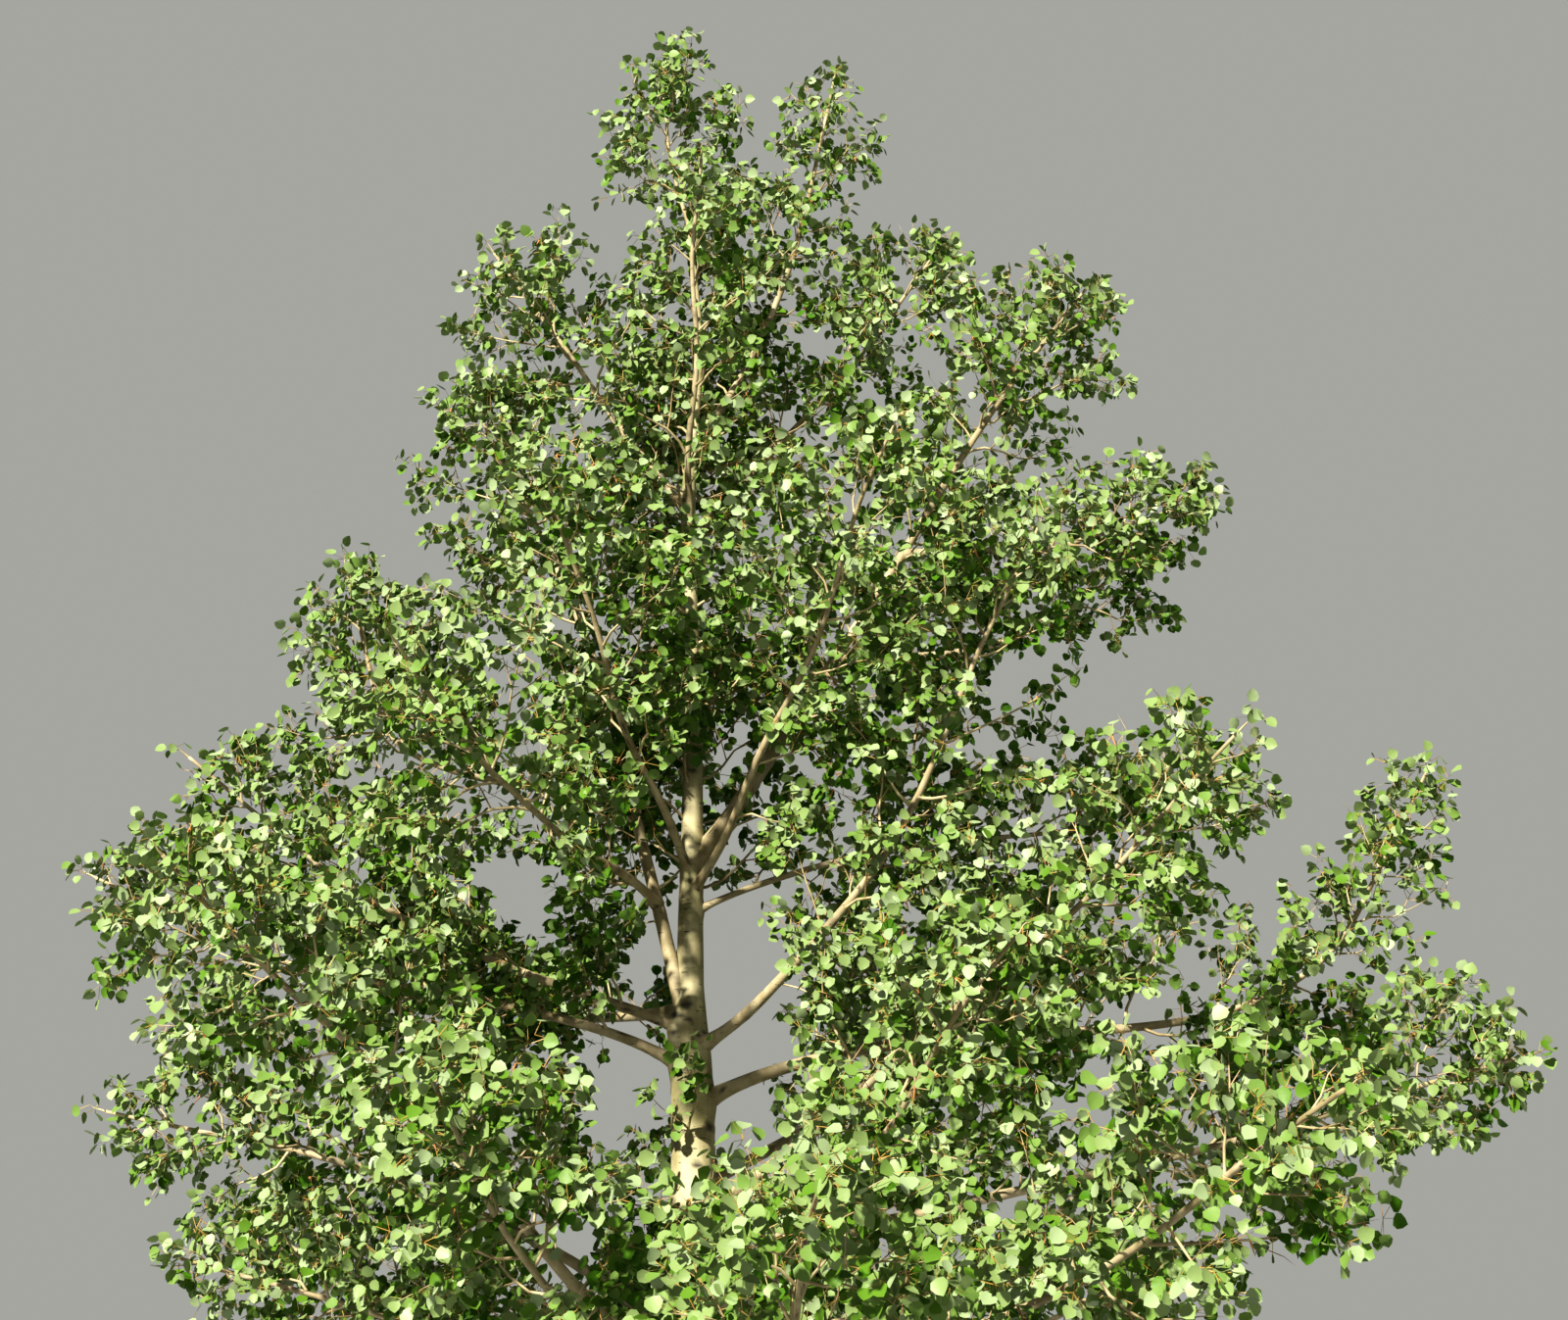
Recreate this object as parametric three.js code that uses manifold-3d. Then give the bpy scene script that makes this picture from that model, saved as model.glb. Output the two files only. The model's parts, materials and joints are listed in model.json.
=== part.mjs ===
// A young quaking aspen, grown in the open: one pale trunk with a root flare, a second stem that
// leaves it at a fork, boughs that rise from both, and round masses of leafy twigs on the boughs.
// Millimetres and degrees, +Z up, the origin in the middle of the flat cut at ground level.
// Headings are seen from above: 0 points along +X and 90 along +Y.
import * as THREE from "three";
import { mergeVertices } from "three/addons/utils/BufferGeometryUtils.js";
import Module from "manifold-3d";

const wasm = await Module();
wasm.setup();

// The trunk: the places that its middle passes through, and its thickness at each height.
const TRUNK_LINE = [
  [0, 0, 0],
  [14, 8, 1500],
  [12, 0, 2900],
  [-8, 10, 3450],
  [-14, -6, 4250],
  [-44, 10, 5150],
  [-18, 0, 5700],
  [-60, 12, 6200],
];
const TRUNK_THICKNESS = [
  [0, 236],
  [110, 190],
  [380, 166],
  [1300, 152],
  [2900, 128],
  [3250, 118],
  [3480, 80],
  [3950, 66],
  [5150, 46],
  [5480, 30],
  [6200, 17],
];
const FLARE = { lobes: 5, depth: 0.13, height: 260 };

// The boughs and the masses that they carry. Each row gives the limb that it leaves and where (a
// height on the trunk, or a share of a bough), its thickness there, the heading, distance from the
// trunk's foot and height of the middle of its mass, and how steeply it rises at its foot and there.
// Last come the mass's half sizes: along the limb, across it, and at right angles to both.
const LIMBS = [
  ["left_stem", "trunk", 3290, 50, [-170, 580, 5070], [76, 62], [480, 460, 390]],
  ["big_right", "trunk", 3850, 54, [0, 1060, 5590], [54, 56], [520, 460, 400]],
  ["left_fork", "left_stem", 0.38, 30, [178, 1010, 4380], [40, 74], [540, 440, 500]],
  ["left_middle", "trunk", 3340, 34, [-176, 1130, 3830], [20, 38], [560, 460, 380]],
  ["left_low", "trunk", 3215, 34, [-179, 1360, 3600], [34, 24], [520, 460, 430]],
  ["left_bottom", "trunk", 2440, 38, [178, 1210, 3010], [40, 12], [550, 470, 400]],
  ["front_left", "left_stem", 0.24, 30, [-121, 1030, 3830], [12, 20], [500, 500, 440]],
  ["front_left_low", "trunk", 2200, 46, [-132, 1400, 3160], [46, 30], [520, 480, 400]],
  ["front_left_bottom", "trunk", 1960, 34, [-106, 1370, 2590], [28, 24], [480, 450, 370]],
  ["front_bottom", "trunk", 1860, 38, [-81, 1860, 2300], [16, 16], [500, 470, 310]],
  ["front_low", "trunk", 2480, 32, [-62, 1330, 2950], [20, 28], [460, 440, 400]],
  ["front_right", "trunk", 3280, 36, [-38, 1010, 4180], [14, 60], [520, 500, 440]],
  ["front_right_middle", "trunk", 2780, 36, [-38, 1450, 3550], [26, 34], [500, 450, 420]],
  ["front_right_bottom", "trunk", 2120, 40, [-58, 2080, 2500], [14, 16], [540, 500, 360]],
  ["right_spur", "big_right", 0.62, 28, [0, 1240, 4970], [10, 20], [520, 420, 320]],
  ["right_middle", "big_right", 0.4, 34, [8, 1240, 4820], [4, 40], [480, 440, 330]],
  ["right_low", "trunk", 3700, 22, [2, 1260, 4000], [30, 8], [500, 440, 370]],
  ["far_right_high", "trunk", 3110, 42, [0, 2000, 3710], [34, 60], [560, 240, 270]],
  ["far_right_low", "trunk", 2640, 44, [-3, 1970, 3110], [16, 16], [520, 480, 420]],
  ["right_leader", "trunk", 5330, 30, [12, 380, 6470], [56, 80], [500, 250, 260]],
  ["back_left", "trunk", 3410, 38, [133, 1380, 3820], [4, 30], [520, 480, 420]],
  ["back_right", "trunk", 2880, 38, [50, 1450, 3800], [24, 38], [520, 480, 420]],
  ["back_left_low", "trunk", 2240, 38, [143, 1450, 2790], [16, 24], [520, 500, 400]],
  ["back_low", "trunk", 2380, 38, [96, 1600, 2780], [10, 20], [520, 480, 400]],
  ["back_right_low", "trunk", 2020, 40, [42, 1620, 2700], [20, 22], [540, 490, 400]],
  ["tip", "trunk", 6200, 17, [183, 140, 6540], [80, 84], [480, 350, 350]],
  ["upper_left", "trunk", 5080, 30, [180, 490, 5730], [50, 56], [460, 430, 420]],
  ["upper_right", "trunk", 4960, 26, [20, 690, 6000], [56, 60], [440, 380, 360]],
  ["upper_front", "trunk", 4860, 26, [-92, 440, 5640], [50, 64], [450, 420, 360]],
  ["upper_back", "trunk", 4960, 26, [95, 470, 5650], [50, 64], [450, 420, 360]],
  ["front_high_left", "trunk", 3820, 28, [-112, 780, 4380], [30, 48], [460, 480, 430]],
  ["front_high_right", "trunk", 3760, 28, [-62, 900, 4440], [26, 46], [460, 500, 430]],
  ["back_high", "trunk", 4040, 30, [98, 800, 4680], [30, 50], [480, 520, 440]],
  ["left_lowest", "trunk", 2150, 34, [-170, 990, 2550], [30, 14], [480, 440, 300]],
];
// These masses start on the trunk itself, with no bough before them.
const ON_TRUNK = [
  "tip",
  "upper_left",
  "upper_right",
  "upper_front",
  "upper_back",
  "front_high_left",
  "front_high_right",
  "back_high",
  "left_lowest",
];

// How the wood and leaves are made.
const JOINT_GAP = 0.35; // air between a limb and the limb that it grows from
const SPACE_GAP = 12; // air between two masses
const LIMB_CLEARANCE = 14; // air between leaves and the limbs that pass them
const TIP_RADIUS = 5; // of a stem where it ends
const SWAY = 0.012; // how far a bough swings to the side, as a share of its length
const FURTHEST = 1.6; // a stem ends by this share of its limb, counted like the middle's share of 1
const TWIG = { spacing: 101, radius: 6, shortest: 90, edge: 120 }; // edge: air beyond its tip
const OPEN_ANGLE = { low: 72, high: 38 }; // between a stem and its twigs, at its foot and its tip
const GOLDEN_ANGLE = 137.5; // from one twig to the next, round the stem
const LIFT = 0.15; // how far twigs turn up to the light
const LEAF = { length: 560, width: 520, thickness: 9 };
const SMALLEST_LEAF = 0.42; // of that size, where there is little room
const LEAF_SUNK = 0.4; // of its length lies behind the tip of its twig
const LEAF_TUMBLE = 1.1; // how far leaves turn from facing along their twig
const LONG_TWIG = 270; // from this length on, a twig bears a second leaf
const STEM_RING = 330; // most length of stem between two of its rings
const SMALLEST_EDGE = 0.1; // shorter edges are closed up
const SEED = 47;

const UP = new THREE.Vector3(0, 0, 1);
const { degToRad, lerp, clamp } = THREE.MathUtils;

const BARK = new THREE.MeshStandardMaterial({ color: 0xb9ae8c, roughness: 0.8, metalness: 0 });
const FOLIAGE = new THREE.MeshStandardMaterial({ color: 0x6f8f3a, roughness: 0.55, metalness: 0 });

// The same stream of numbers from 0 to 1 for the same seed, on every machine.
function seeded(seed) {
  let state = (seed * 7919 + 104729) % 2147483647;
  const next = () => (state = (state * 16807) % 2147483647) / 2147483647;
  next();
  return next;
}

// Reads a table of [place, value] rows, with straight lines between them.
function readTable(table, place) {
  const after = table.findIndex((row) => row[0] >= place);
  if (after < 0) return table.at(-1)[1];
  if (after === 0) return table[0][1];
  const [p0, v0] = table[after - 1];
  const [p1, v1] = table[after];
  return lerp(v0, v1, (place - p0) / (p1 - p0));
}

// Solids: three.js makes a closed shape, and manifold-3d joins or cuts it.
function solidOf(geometry) {
  const bare = geometry.clone();
  bare.deleteAttribute("normal");
  bare.deleteAttribute("uv");
  const merged = mergeVertices(bare, 1e-3);
  const vertProperties = new Float32Array(merged.attributes.position.array);
  const triVerts = new Uint32Array(merged.index.array);
  return new wasm.Manifold(new wasm.Mesh({ numProp: 3, vertProperties, triVerts }));
}

// The largest closed body of a solid, without loose scraps or sealed hollows.
function largestBody(solid) {
  return solid.decompose().reduce((a, b) => (b.volume() > a.volume() ? b : a));
}

function meshOf(name, solid, material) {
  const { numProp, vertProperties, triVerts } = solid.getMesh();
  const position = new THREE.BufferAttribute(new Float32Array(vertProperties), numProp);
  const geometry = new THREE.BufferGeometry().setAttribute("position", position);
  geometry.setIndex(new THREE.BufferAttribute(new Uint32Array(triVerts), 1));
  geometry.computeVertexNormals();
  const mesh = new THREE.Mesh(geometry, material);
  mesh.name = name;
  return mesh;
}

// A closed cylinder of the given sides and rings, each vertex then put where place(share, x, y) says.
// x and y lie on a circle of radius 1, and share runs from 0 at the foot to 1 at the top.
function bentCylinder(sides, rings, place) {
  const geometry = new THREE.CylinderGeometry(1, 1, 1, sides, rings);
  geometry.rotateX(Math.PI / 2);
  const at = geometry.attributes.position;
  for (let i = 0; i < at.count; i++) {
    const p = place(clamp(at.getZ(i) + 0.5, 0, 1), at.getX(i), at.getY(i));
    at.setXYZ(i, p.x, p.y, p.z);
  }
  return geometry;
}

// The trunk: level rings round its line, thick at the foot with shallow root lobes.
const trunkCurve = new THREE.CatmullRomCurve3(TRUNK_LINE.map((p) => new THREE.Vector3(...p)));
const trunkTop = TRUNK_LINE.at(-1)[2];

function trunkMiddle(height) {
  let low = 0;
  let high = 1;
  for (let i = 0; i < 40; i++) {
    const half = (low + high) / 2;
    if (trunkCurve.getPoint(half).z < height) low = half;
    else high = half;
  }
  return trunkCurve.getPoint((low + high) / 2).setZ(height);
}

function trunkSolid(extra) {
  const place = (share, x, y) => {
    const height = (trunkTop + extra) * share ** 1.35;
    const near = Math.max(0, 1 - height / FLARE.height);
    const lobe = 1 + FLARE.depth * near * Math.cos(FLARE.lobes * Math.atan2(y, x));
    const radius = (readTable(TRUNK_THICKNESS, height) / 2) * lobe + extra;
    return trunkMiddle(height).add(new THREE.Vector3(x * radius, y * radius, 0));
  };
  return solidOf(bentCylinder(16, 20, place));
}

const trunk = {
  at: (height) => ({ point: trunkMiddle(height), radius: readTable(TRUNK_THICKNESS, height) / 2 }),
  solid: trunkSolid,
};

// A limb is one tapering curve, from the middle of the limb that it leaves, through the middle of its
// mass (share 1) and on to the far side of it.
const limbs = new Map([["trunk", trunk]]);

function makeLimb([name, parent, from, thickness, [heading, out, height], rises, half], number) {
  const random = seeded(SEED + number);
  const start = limbs.get(parent).at(from).point.clone();
  const turn = degToRad(heading);
  const outward = new THREE.Vector3(Math.cos(turn), Math.sin(turn), 0);
  const goal = outward.clone().multiplyScalar(out).setZ(height);
  const length = goal.distanceTo(start);
  const level = goal.clone().sub(start).setZ(0).normalize();
  const side = UP.clone().cross(level);
  const [leaving, arriving] = rises.map((rise) =>
    level.clone().multiplyScalar(Math.cos(degToRad(rise))).addScaledVector(UP, Math.sin(degToRad(rise))),
  );
  const curve = new THREE.CubicBezierCurve3(
    start,
    start.clone().addScaledVector(leaving, length / 3),
    goal.clone().addScaledVector(arriving, -length / 3),
    goal,
  );
  const sway = SWAY * length * (random() < 0.5 ? -1 : 1);
  const phase = random();
  const point = (share) => {
    const swing = sway * Math.min(1, 3 * share) * Math.sin(2 * Math.PI * (1.4 * share + phase));
    return curve
      .getPoint(Math.min(1, share))
      .addScaledVector(arriving, Math.max(0, share - 1) * length)
      .addScaledVector(side, swing);
  };
  const limb = { name, parent, random, side, point, half, length, middle: point(1) };
  limb.tangent = (share) => point(share + 0.01).sub(point(Math.max(0, share - 0.01))).normalize();
  limb.end = FURTHEST;
  limb.radius = (share) => lerp(thickness / 2, TIP_RADIUS, clamp(share / limb.end, 0, 1) ** 0.85);
  limb.at = (share) => ({ point: point(share), radius: limb.radius(share) });
  limb.solid = (extra) => limbSolid(limb, 0, limb.enter, 6, 5, extra);
  limbs.set(name, limb);
  return limb;
}

// The stretch of a limb between two shares of its length, as a closed tube.
function limbSolid(limb, from, to, sides, rings, extra = 0) {
  const place = (share, x, y) => {
    const here = lerp(from, to, share);
    const along = limb.tangent(here);
    const across = limb.side.clone().addScaledVector(along, -limb.side.dot(along)).normalize();
    const third = along.clone().cross(across);
    const radius = limb.radius(here) + extra;
    return limb.point(here).addScaledVector(across, x * radius).addScaledVector(third, y * radius);
  };
  return solidOf(bentCylinder(sides, rings, place));
}

// A mass keeps to its own space: an egg round the middle of its limb, cut by a flat plane between it
// and each neighbour.
function makeSpace(limb) {
  const along = limb.tangent(1);
  const across = limb.side.clone().addScaledVector(along, -limb.side.dot(along)).normalize();
  const third = along.clone().cross(across);
  limb.space = { middle: limb.middle, axes: [along, across, third], half: limb.half, planes: [] };
}

// How far an egg reaches from its middle in a direction.
function eggRadius(space, direction) {
  const sum = space.axes.reduce((s, axis, i) => s + (direction.dot(axis) / space.half[i]) ** 2, 0);
  return 1 / Math.sqrt(sum);
}

function dividePlanes(all) {
  all.forEach((a, i) =>
    all.slice(i + 1).forEach((b) => {
      const towards = b.middle.clone().sub(a.middle);
      const apart = towards.length();
      if (apart > Math.max(...a.half) + Math.max(...b.half)) return;
      towards.divideScalar(apart);
      const ra = eggRadius(a.space, towards);
      const rb = eggRadius(b.space, towards);
      const cut = a.middle.clone().addScaledVector(towards, (apart * ra) / (ra + rb));
      const offset = cut.dot(towards);
      a.space.planes.push({ normal: towards.clone(), limit: offset - SPACE_GAP / 2 });
      b.space.planes.push({ normal: towards.clone().negate(), limit: -offset - SPACE_GAP / 2 });
    }),
  );
}

function inSpace(space, p) {
  const from = p.clone().sub(space.middle);
  const sum = space.axes.reduce((s, axis, i) => s + (from.dot(axis) / space.half[i]) ** 2, 0);
  return sum < 1 && space.planes.every(({ normal, limit }) => normal.dot(p) < limit);
}

// How far a twig can run from p in a direction before it leaves the space.
function reach(space, p, direction) {
  const from = p.clone().sub(space.middle);
  let [a, b, c] = [0, 0, -1];
  space.axes.forEach((axis, i) => {
    const d = direction.dot(axis) / space.half[i];
    const f = from.dot(axis) / space.half[i];
    a += d * d;
    b += 2 * d * f;
    c += f * f;
  });
  const root = b * b - 4 * a * c;
  let far = root > 0 ? (Math.sqrt(root) - b) / (2 * a) : 0;
  for (const { normal, limit } of space.planes) {
    const speed = normal.dot(direction);
    if (speed > 1e-9) far = Math.min(far, (limit - normal.dot(p)) / speed);
  }
  return Math.max(0, far);
}

// Where a limb enters its mass, and where its stem ends inside it.
function trimLimb(limb) {
  const step = 0.01;
  let enter = 1;
  while (enter > step && inSpace(limb.space, limb.point(enter - step))) enter -= step;
  let end = 1;
  while (end < FURTHEST && inSpace(limb.space, limb.point(end + 3 * step))) end += step;
  limb.enter = enter;
  limb.end = end;
}

// Points along the trunk and along every limb up to its mass, which leaves and twigs keep clear of.
function limbPoints(all) {
  const found = [];
  for (let height = 0; height <= trunkTop; height += 20) found.push(trunk.at(height));
  for (const limb of all)
    for (let share = 0; share < limb.enter; share += 0.015) found.push(limb.at(share));
  return found;
}

// A leaf is a thin lens with a six-sided outline, a little wider towards its foot. Here it stands
// for a whole spray of the real leaves.
function leafGeometry(foot, direction, normal, length, width) {
  const geometry = new THREE.SphereGeometry(0.5, 6, 2);
  const across = direction.clone().cross(normal).normalize();
  const at = geometry.attributes.position;
  for (let i = 0; i < at.count; i++) {
    const along = at.getX(i) + 0.5;
    const p = foot
      .clone()
      .addScaledVector(direction, along * length)
      .addScaledVector(across, at.getZ(i) * width * (1.25 - 0.3 * along))
      .addScaledVector(normal, at.getY(i) * LEAF.thickness);
    at.setXYZ(i, p.x, p.y, p.z);
  }
  return geometry;
}

// True if a flat round shape touches none of the wood nearby.
function discIsClear(middle, normal, radius, wood) {
  return wood.every((w) => {
    const from = w.point.clone().sub(middle);
    const above = from.dot(normal);
    const outside = Math.max(0, Math.sqrt(Math.max(0, from.lengthSq() - above * above)) - radius);
    return Math.hypot(above, outside) > w.radius + LIMB_CLEARANCE;
  });
}

// A leaf that ends a twig, made smaller until it lies in its space and crosses nothing but its twig,
// or null. The twig's tip is sunk in it, nearer to its foot than to its point.
function fitLeaf(space, wood, others, tip, direction, normal) {
  for (let scale = 1; scale > SMALLEST_LEAF; scale *= 0.92) {
    const length = LEAF.length * scale;
    const foot = tip.clone().addScaledVector(direction, -LEAF_SUNK * length);
    const geometry = leafGeometry(foot, direction, normal, length, LEAF.width * scale);
    const corner = new THREE.Vector3();
    const at = geometry.attributes.position;
    let inside = true;
    for (let i = 0; i < at.count && inside; i++) inside = inSpace(space, corner.fromBufferAttribute(at, i));
    const middle = foot.clone().addScaledVector(direction, length / 2);
    if (!inside || !discIsClear(middle, normal, length / 2, wood)) continue;
    const leaf = solidOf(geometry);
    if (others.every((other) => leaf.intersect(other).isEmpty())) return leaf;
  }
  return null;
}

// A straight three-sided twig, its foot in the middle of its stem.
function twigSolid(foot, direction, length, radius) {
  const across = new THREE.Vector3().crossVectors(direction, UP).normalize();
  const third = direction.clone().cross(across);
  const place = (share, x, y) => {
    const r = radius * (1 - 0.4 * share);
    return foot
      .clone()
      .addScaledVector(direction, share * length)
      .addScaledVector(across, x * r)
      .addScaledVector(third, y * r);
  };
  return solidOf(bentCylinder(3, 1, place));
}

function twigIsClear(foot, direction, length, wood) {
  for (let run = 30; run < length; run += 20) {
    const p = foot.clone().addScaledVector(direction, run);
    if (wood.some((w) => p.distanceTo(w.point) < w.radius + LIMB_CLEARANCE)) return false;
  }
  return true;
}

// The rule of growth. Twigs leave the stem one spacing apart, each turned by the golden angle from
// the last, opening wide at the foot and closing towards the tip, and run nearly to the edge of the
// space. Each ends in a leaf that lies across it, and a long one runs through a second leaf on its
// way. A twig without room for a leaf at its tip is left out.
function growMass(limb, allWood) {
  const near = Math.max(...limb.half) + LEAF.length;
  const wood = allWood.filter((w) => w.point.distanceTo(limb.middle) < near);
  const start = ON_TRUNK.includes(limb.name) ? firstOutside(limb) : limb.enter + JOINT_GAP / limb.length;
  const rings = Math.ceil(((limb.end - start) * limb.length) / STEM_RING);
  const stem = limbSolid(limb, start, limb.end, 4, rings);
  const twigs = growTwigs(limb, wood, (share) => {
    const run = clamp((share - start) / (limb.end - start), 0, 1) * rings;
    const [below, above] = [Math.floor(run), Math.ceil(run)].map((ring) =>
      limb.point(lerp(start, limb.end, ring / rings)),
    );
    return below.lerp(above, run % 1);
  });
  const leaves = [];
  const addLeaf = (twig, tip) => {
    const others = [...twigs, { solid: stem }].filter((other) => other.solid !== twig.solid);
    const [away, a, b, c] = [0, 0, 0, 0].map(() => limb.random() - 0.5);
    const facing = new THREE.Vector3(a, b, c).multiplyScalar(LEAF_TUMBLE).add(twig.direction);
    const normal = facing.normalize();
    const across = UP.clone().cross(twig.direction).normalize();
    const leafWay = across.applyAxisAngle(twig.direction, 2 * Math.PI * away);
    leafWay.addScaledVector(normal, -leafWay.dot(normal)).normalize();
    const solids = [...others.map((other) => other.solid), ...leaves];
    const leaf = fitLeaf(limb.space, wood, solids, tip, leafWay, normal);
    if (leaf) leaves.push(leaf);
    return Boolean(leaf);
  };
  addLeaf({ solid: stem, direction: limb.tangent(limb.end) }, limb.point(limb.end));
  const bearing = twigs.filter((twig) => addLeaf(twig, twig.tip));
  for (const twig of bearing) if (twig.length > LONG_TWIG) addLeaf(twig, twig.middle);
  const whole = wasm.Manifold.union([stem, ...bearing.map((twig) => twig.solid), ...leaves]);
  return largestBody(whole.simplify(SMALLEST_EDGE));
}

function growTwigs(limb, wood, middleOfStem) {
  const { random, space } = limb;
  const twigs = [];
  const count = Math.round(((limb.end - limb.enter) * limb.length) / TWIG.spacing);
  for (let i = 0; i < count; i++) {
    const run = (i + 0.25 + 0.5 * random()) / count;
    const share = lerp(limb.enter, limb.end, 0.04 + 0.9 * run);
    const along = limb.tangent(share);
    const open = degToRad(lerp(OPEN_ANGLE.low, OPEN_ANGLE.high, run));
    const side = limb.side.clone().addScaledVector(along, -limb.side.dot(along)).normalize();
    const around = side.applyAxisAngle(along, degToRad(GOLDEN_ANGLE * i + 30 * random()));
    const direction = along
      .clone()
      .multiplyScalar(Math.cos(open))
      .addScaledVector(around, Math.sin(open))
      .addScaledVector(UP, LIFT)
      .normalize();
    const foot = middleOfStem(share);
    const length = reach(space, foot, direction) - TWIG.edge;
    if (length < TWIG.shortest || !twigIsClear(foot, direction, length, wood)) continue;
    const solid = twigSolid(foot, direction, length, Math.min(TWIG.radius, 0.6 * limb.radius(share)));
    const tip = foot.clone().addScaledVector(direction, length);
    twigs.push({ tip, middle: foot.lerp(tip, 0.5), direction, length, solid });
  }
  return twigs;
}

// The share at which a stem that starts on the trunk is clear of it.
function firstOutside(limb) {
  let share = 0;
  const isClear = ({ point }) => {
    const { point: middle, radius } = trunk.at(Math.min(point.z, trunkTop));
    return point.z > trunkTop || point.distanceTo(middle) > radius;
  };
  while (!isClear(limb.at(share))) share += 0.002;
  return share;
}

const all = LIMBS.map(makeLimb);
all.forEach(makeSpace);
dividePlanes(all);
all.forEach(trimLimb);
const wood = limbPoints(all);

const tree = new THREE.Group();
tree.add(meshOf("trunk", trunk.solid(0), BARK));
for (const limb of all) {
  const parent = limbs.get(limb.parent).solid(JOINT_GAP);
  const mass = growMass(limb, wood);
  if (ON_TRUNK.includes(limb.name)) {
    tree.add(meshOf("leaves_" + limb.name, largestBody(mass.subtract(parent)), FOLIAGE));
    continue;
  }
  const bough = limb.solid(0);
  tree.add(meshOf("bough_" + limb.name, largestBody(bough.subtract(parent)), BARK));
  tree.add(meshOf("leaves_" + limb.name, mass, FOLIAGE));
}

export default tree;
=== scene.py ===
# %% [markdown]
# # A young quaking aspen
#
# This lesson dresses a tree whose layout is fixed: the imported model holds the trunk, the boughs and
# coarse masses of leaves. Here they get the finish of the real tree: bark with relief, twigs that grow
# finer and finer, and tens of thousands of round leaves on thin stalks. The frame is loaded first,
# because every later piece rides on it in place of its nodes.

# %% Load the fixed frame
import json
import math

import bmesh
import bpy
import numpy as np
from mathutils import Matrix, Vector, kdtree, noise

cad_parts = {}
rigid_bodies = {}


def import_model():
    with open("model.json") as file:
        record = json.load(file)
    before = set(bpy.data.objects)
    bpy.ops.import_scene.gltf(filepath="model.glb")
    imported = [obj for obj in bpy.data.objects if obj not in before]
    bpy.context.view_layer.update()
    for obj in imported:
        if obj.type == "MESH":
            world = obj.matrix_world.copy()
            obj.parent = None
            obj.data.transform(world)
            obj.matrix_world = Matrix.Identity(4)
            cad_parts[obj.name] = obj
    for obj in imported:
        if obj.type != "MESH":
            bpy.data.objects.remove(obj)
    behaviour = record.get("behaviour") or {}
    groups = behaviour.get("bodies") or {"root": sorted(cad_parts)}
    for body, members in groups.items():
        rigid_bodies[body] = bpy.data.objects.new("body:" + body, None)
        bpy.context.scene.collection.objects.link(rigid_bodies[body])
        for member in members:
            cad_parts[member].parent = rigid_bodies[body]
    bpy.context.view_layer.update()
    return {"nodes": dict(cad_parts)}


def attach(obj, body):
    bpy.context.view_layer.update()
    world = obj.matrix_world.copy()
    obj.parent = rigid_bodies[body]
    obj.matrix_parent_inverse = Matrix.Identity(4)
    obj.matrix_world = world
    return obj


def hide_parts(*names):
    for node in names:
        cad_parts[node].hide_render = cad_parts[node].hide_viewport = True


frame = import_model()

scene = bpy.context.scene
MASS_NODES = sorted(name for name in frame["nodes"] if name.startswith("leaves_"))
BOUGH_NODES = sorted(name for name in frame["nodes"] if name.startswith("bough_"))

# %% [markdown]
# ## The camera
#
# The tree is seen from the ground, close by and looking up, so its lower leaves are larger than its
# upper ones and its foot is out of view. Three facts set a camera: where the eye stands, how far it
# is tilted up, and how long the lens is in pixels of a picture 1600 pixels wide. A longer lens from
# further off would frame the same crown, but flatten that change in leaf size.

# %% Camera
def add_object(name, data):
    made = bpy.data.objects.new(name, data)
    scene.collection.objects.link(made)
    return made


IMAGE_WIDTH = 1600
FOCAL_PIXELS = 2200
SENSOR_WIDTH = 36.0
EYE = Vector((0.27, -6.2, 1.65))
TILT_UP = math.radians(25)

camera_data = bpy.data.cameras.new("camera")
camera_data.sensor_width = SENSOR_WIDTH
camera_data.lens = SENSOR_WIDTH * FOCAL_PIXELS / IMAGE_WIDTH
camera = add_object("camera", camera_data)
camera.location = EYE
camera.rotation_euler = (math.pi / 2 + TILT_UP, 0, 0)
scene.camera = camera
print("camera: lens of %.1f mm" % camera_data.lens)

# %% [markdown]
# ## The layout of the limbs
#
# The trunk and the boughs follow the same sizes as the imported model, in metres and degrees. Reading
# them off its meshes would work too, but the twigs couldn't grow on from them by rule. Each row gives
# the limb that it leaves and where, as a height on the trunk or a share of a bough's length, its
# thickness there, the heading, distance and height of its mass's middle, its rise at both places and
# the mass's half sizes.

# %% Trunk sizes
TRUNK_LINE = [
    (0.0, 0.0, 0.0), (0.014, 0.008, 1.5), (0.012, 0.0, 2.9), (-0.008, 0.010, 3.45),
    (-0.014, -0.006, 4.25), (-0.044, 0.010, 5.15), (-0.018, 0.0, 5.7), (-0.060, 0.012, 6.2),
]
TRUNK_THICKNESS = [
    (0.0, 0.236), (0.11, 0.190), (0.38, 0.166), (1.3, 0.152), (2.9, 0.128), (3.25, 0.118),
    (3.48, 0.080), (3.95, 0.066), (5.15, 0.046), (5.48, 0.030), (6.2, 0.017),
]
FLARE_LOBES = 5
FLARE_DEPTH = 0.13
FLARE_HEIGHT = 0.26
print("trunk: %.3f m thick at its foot" % TRUNK_THICKNESS[0][1])

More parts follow.
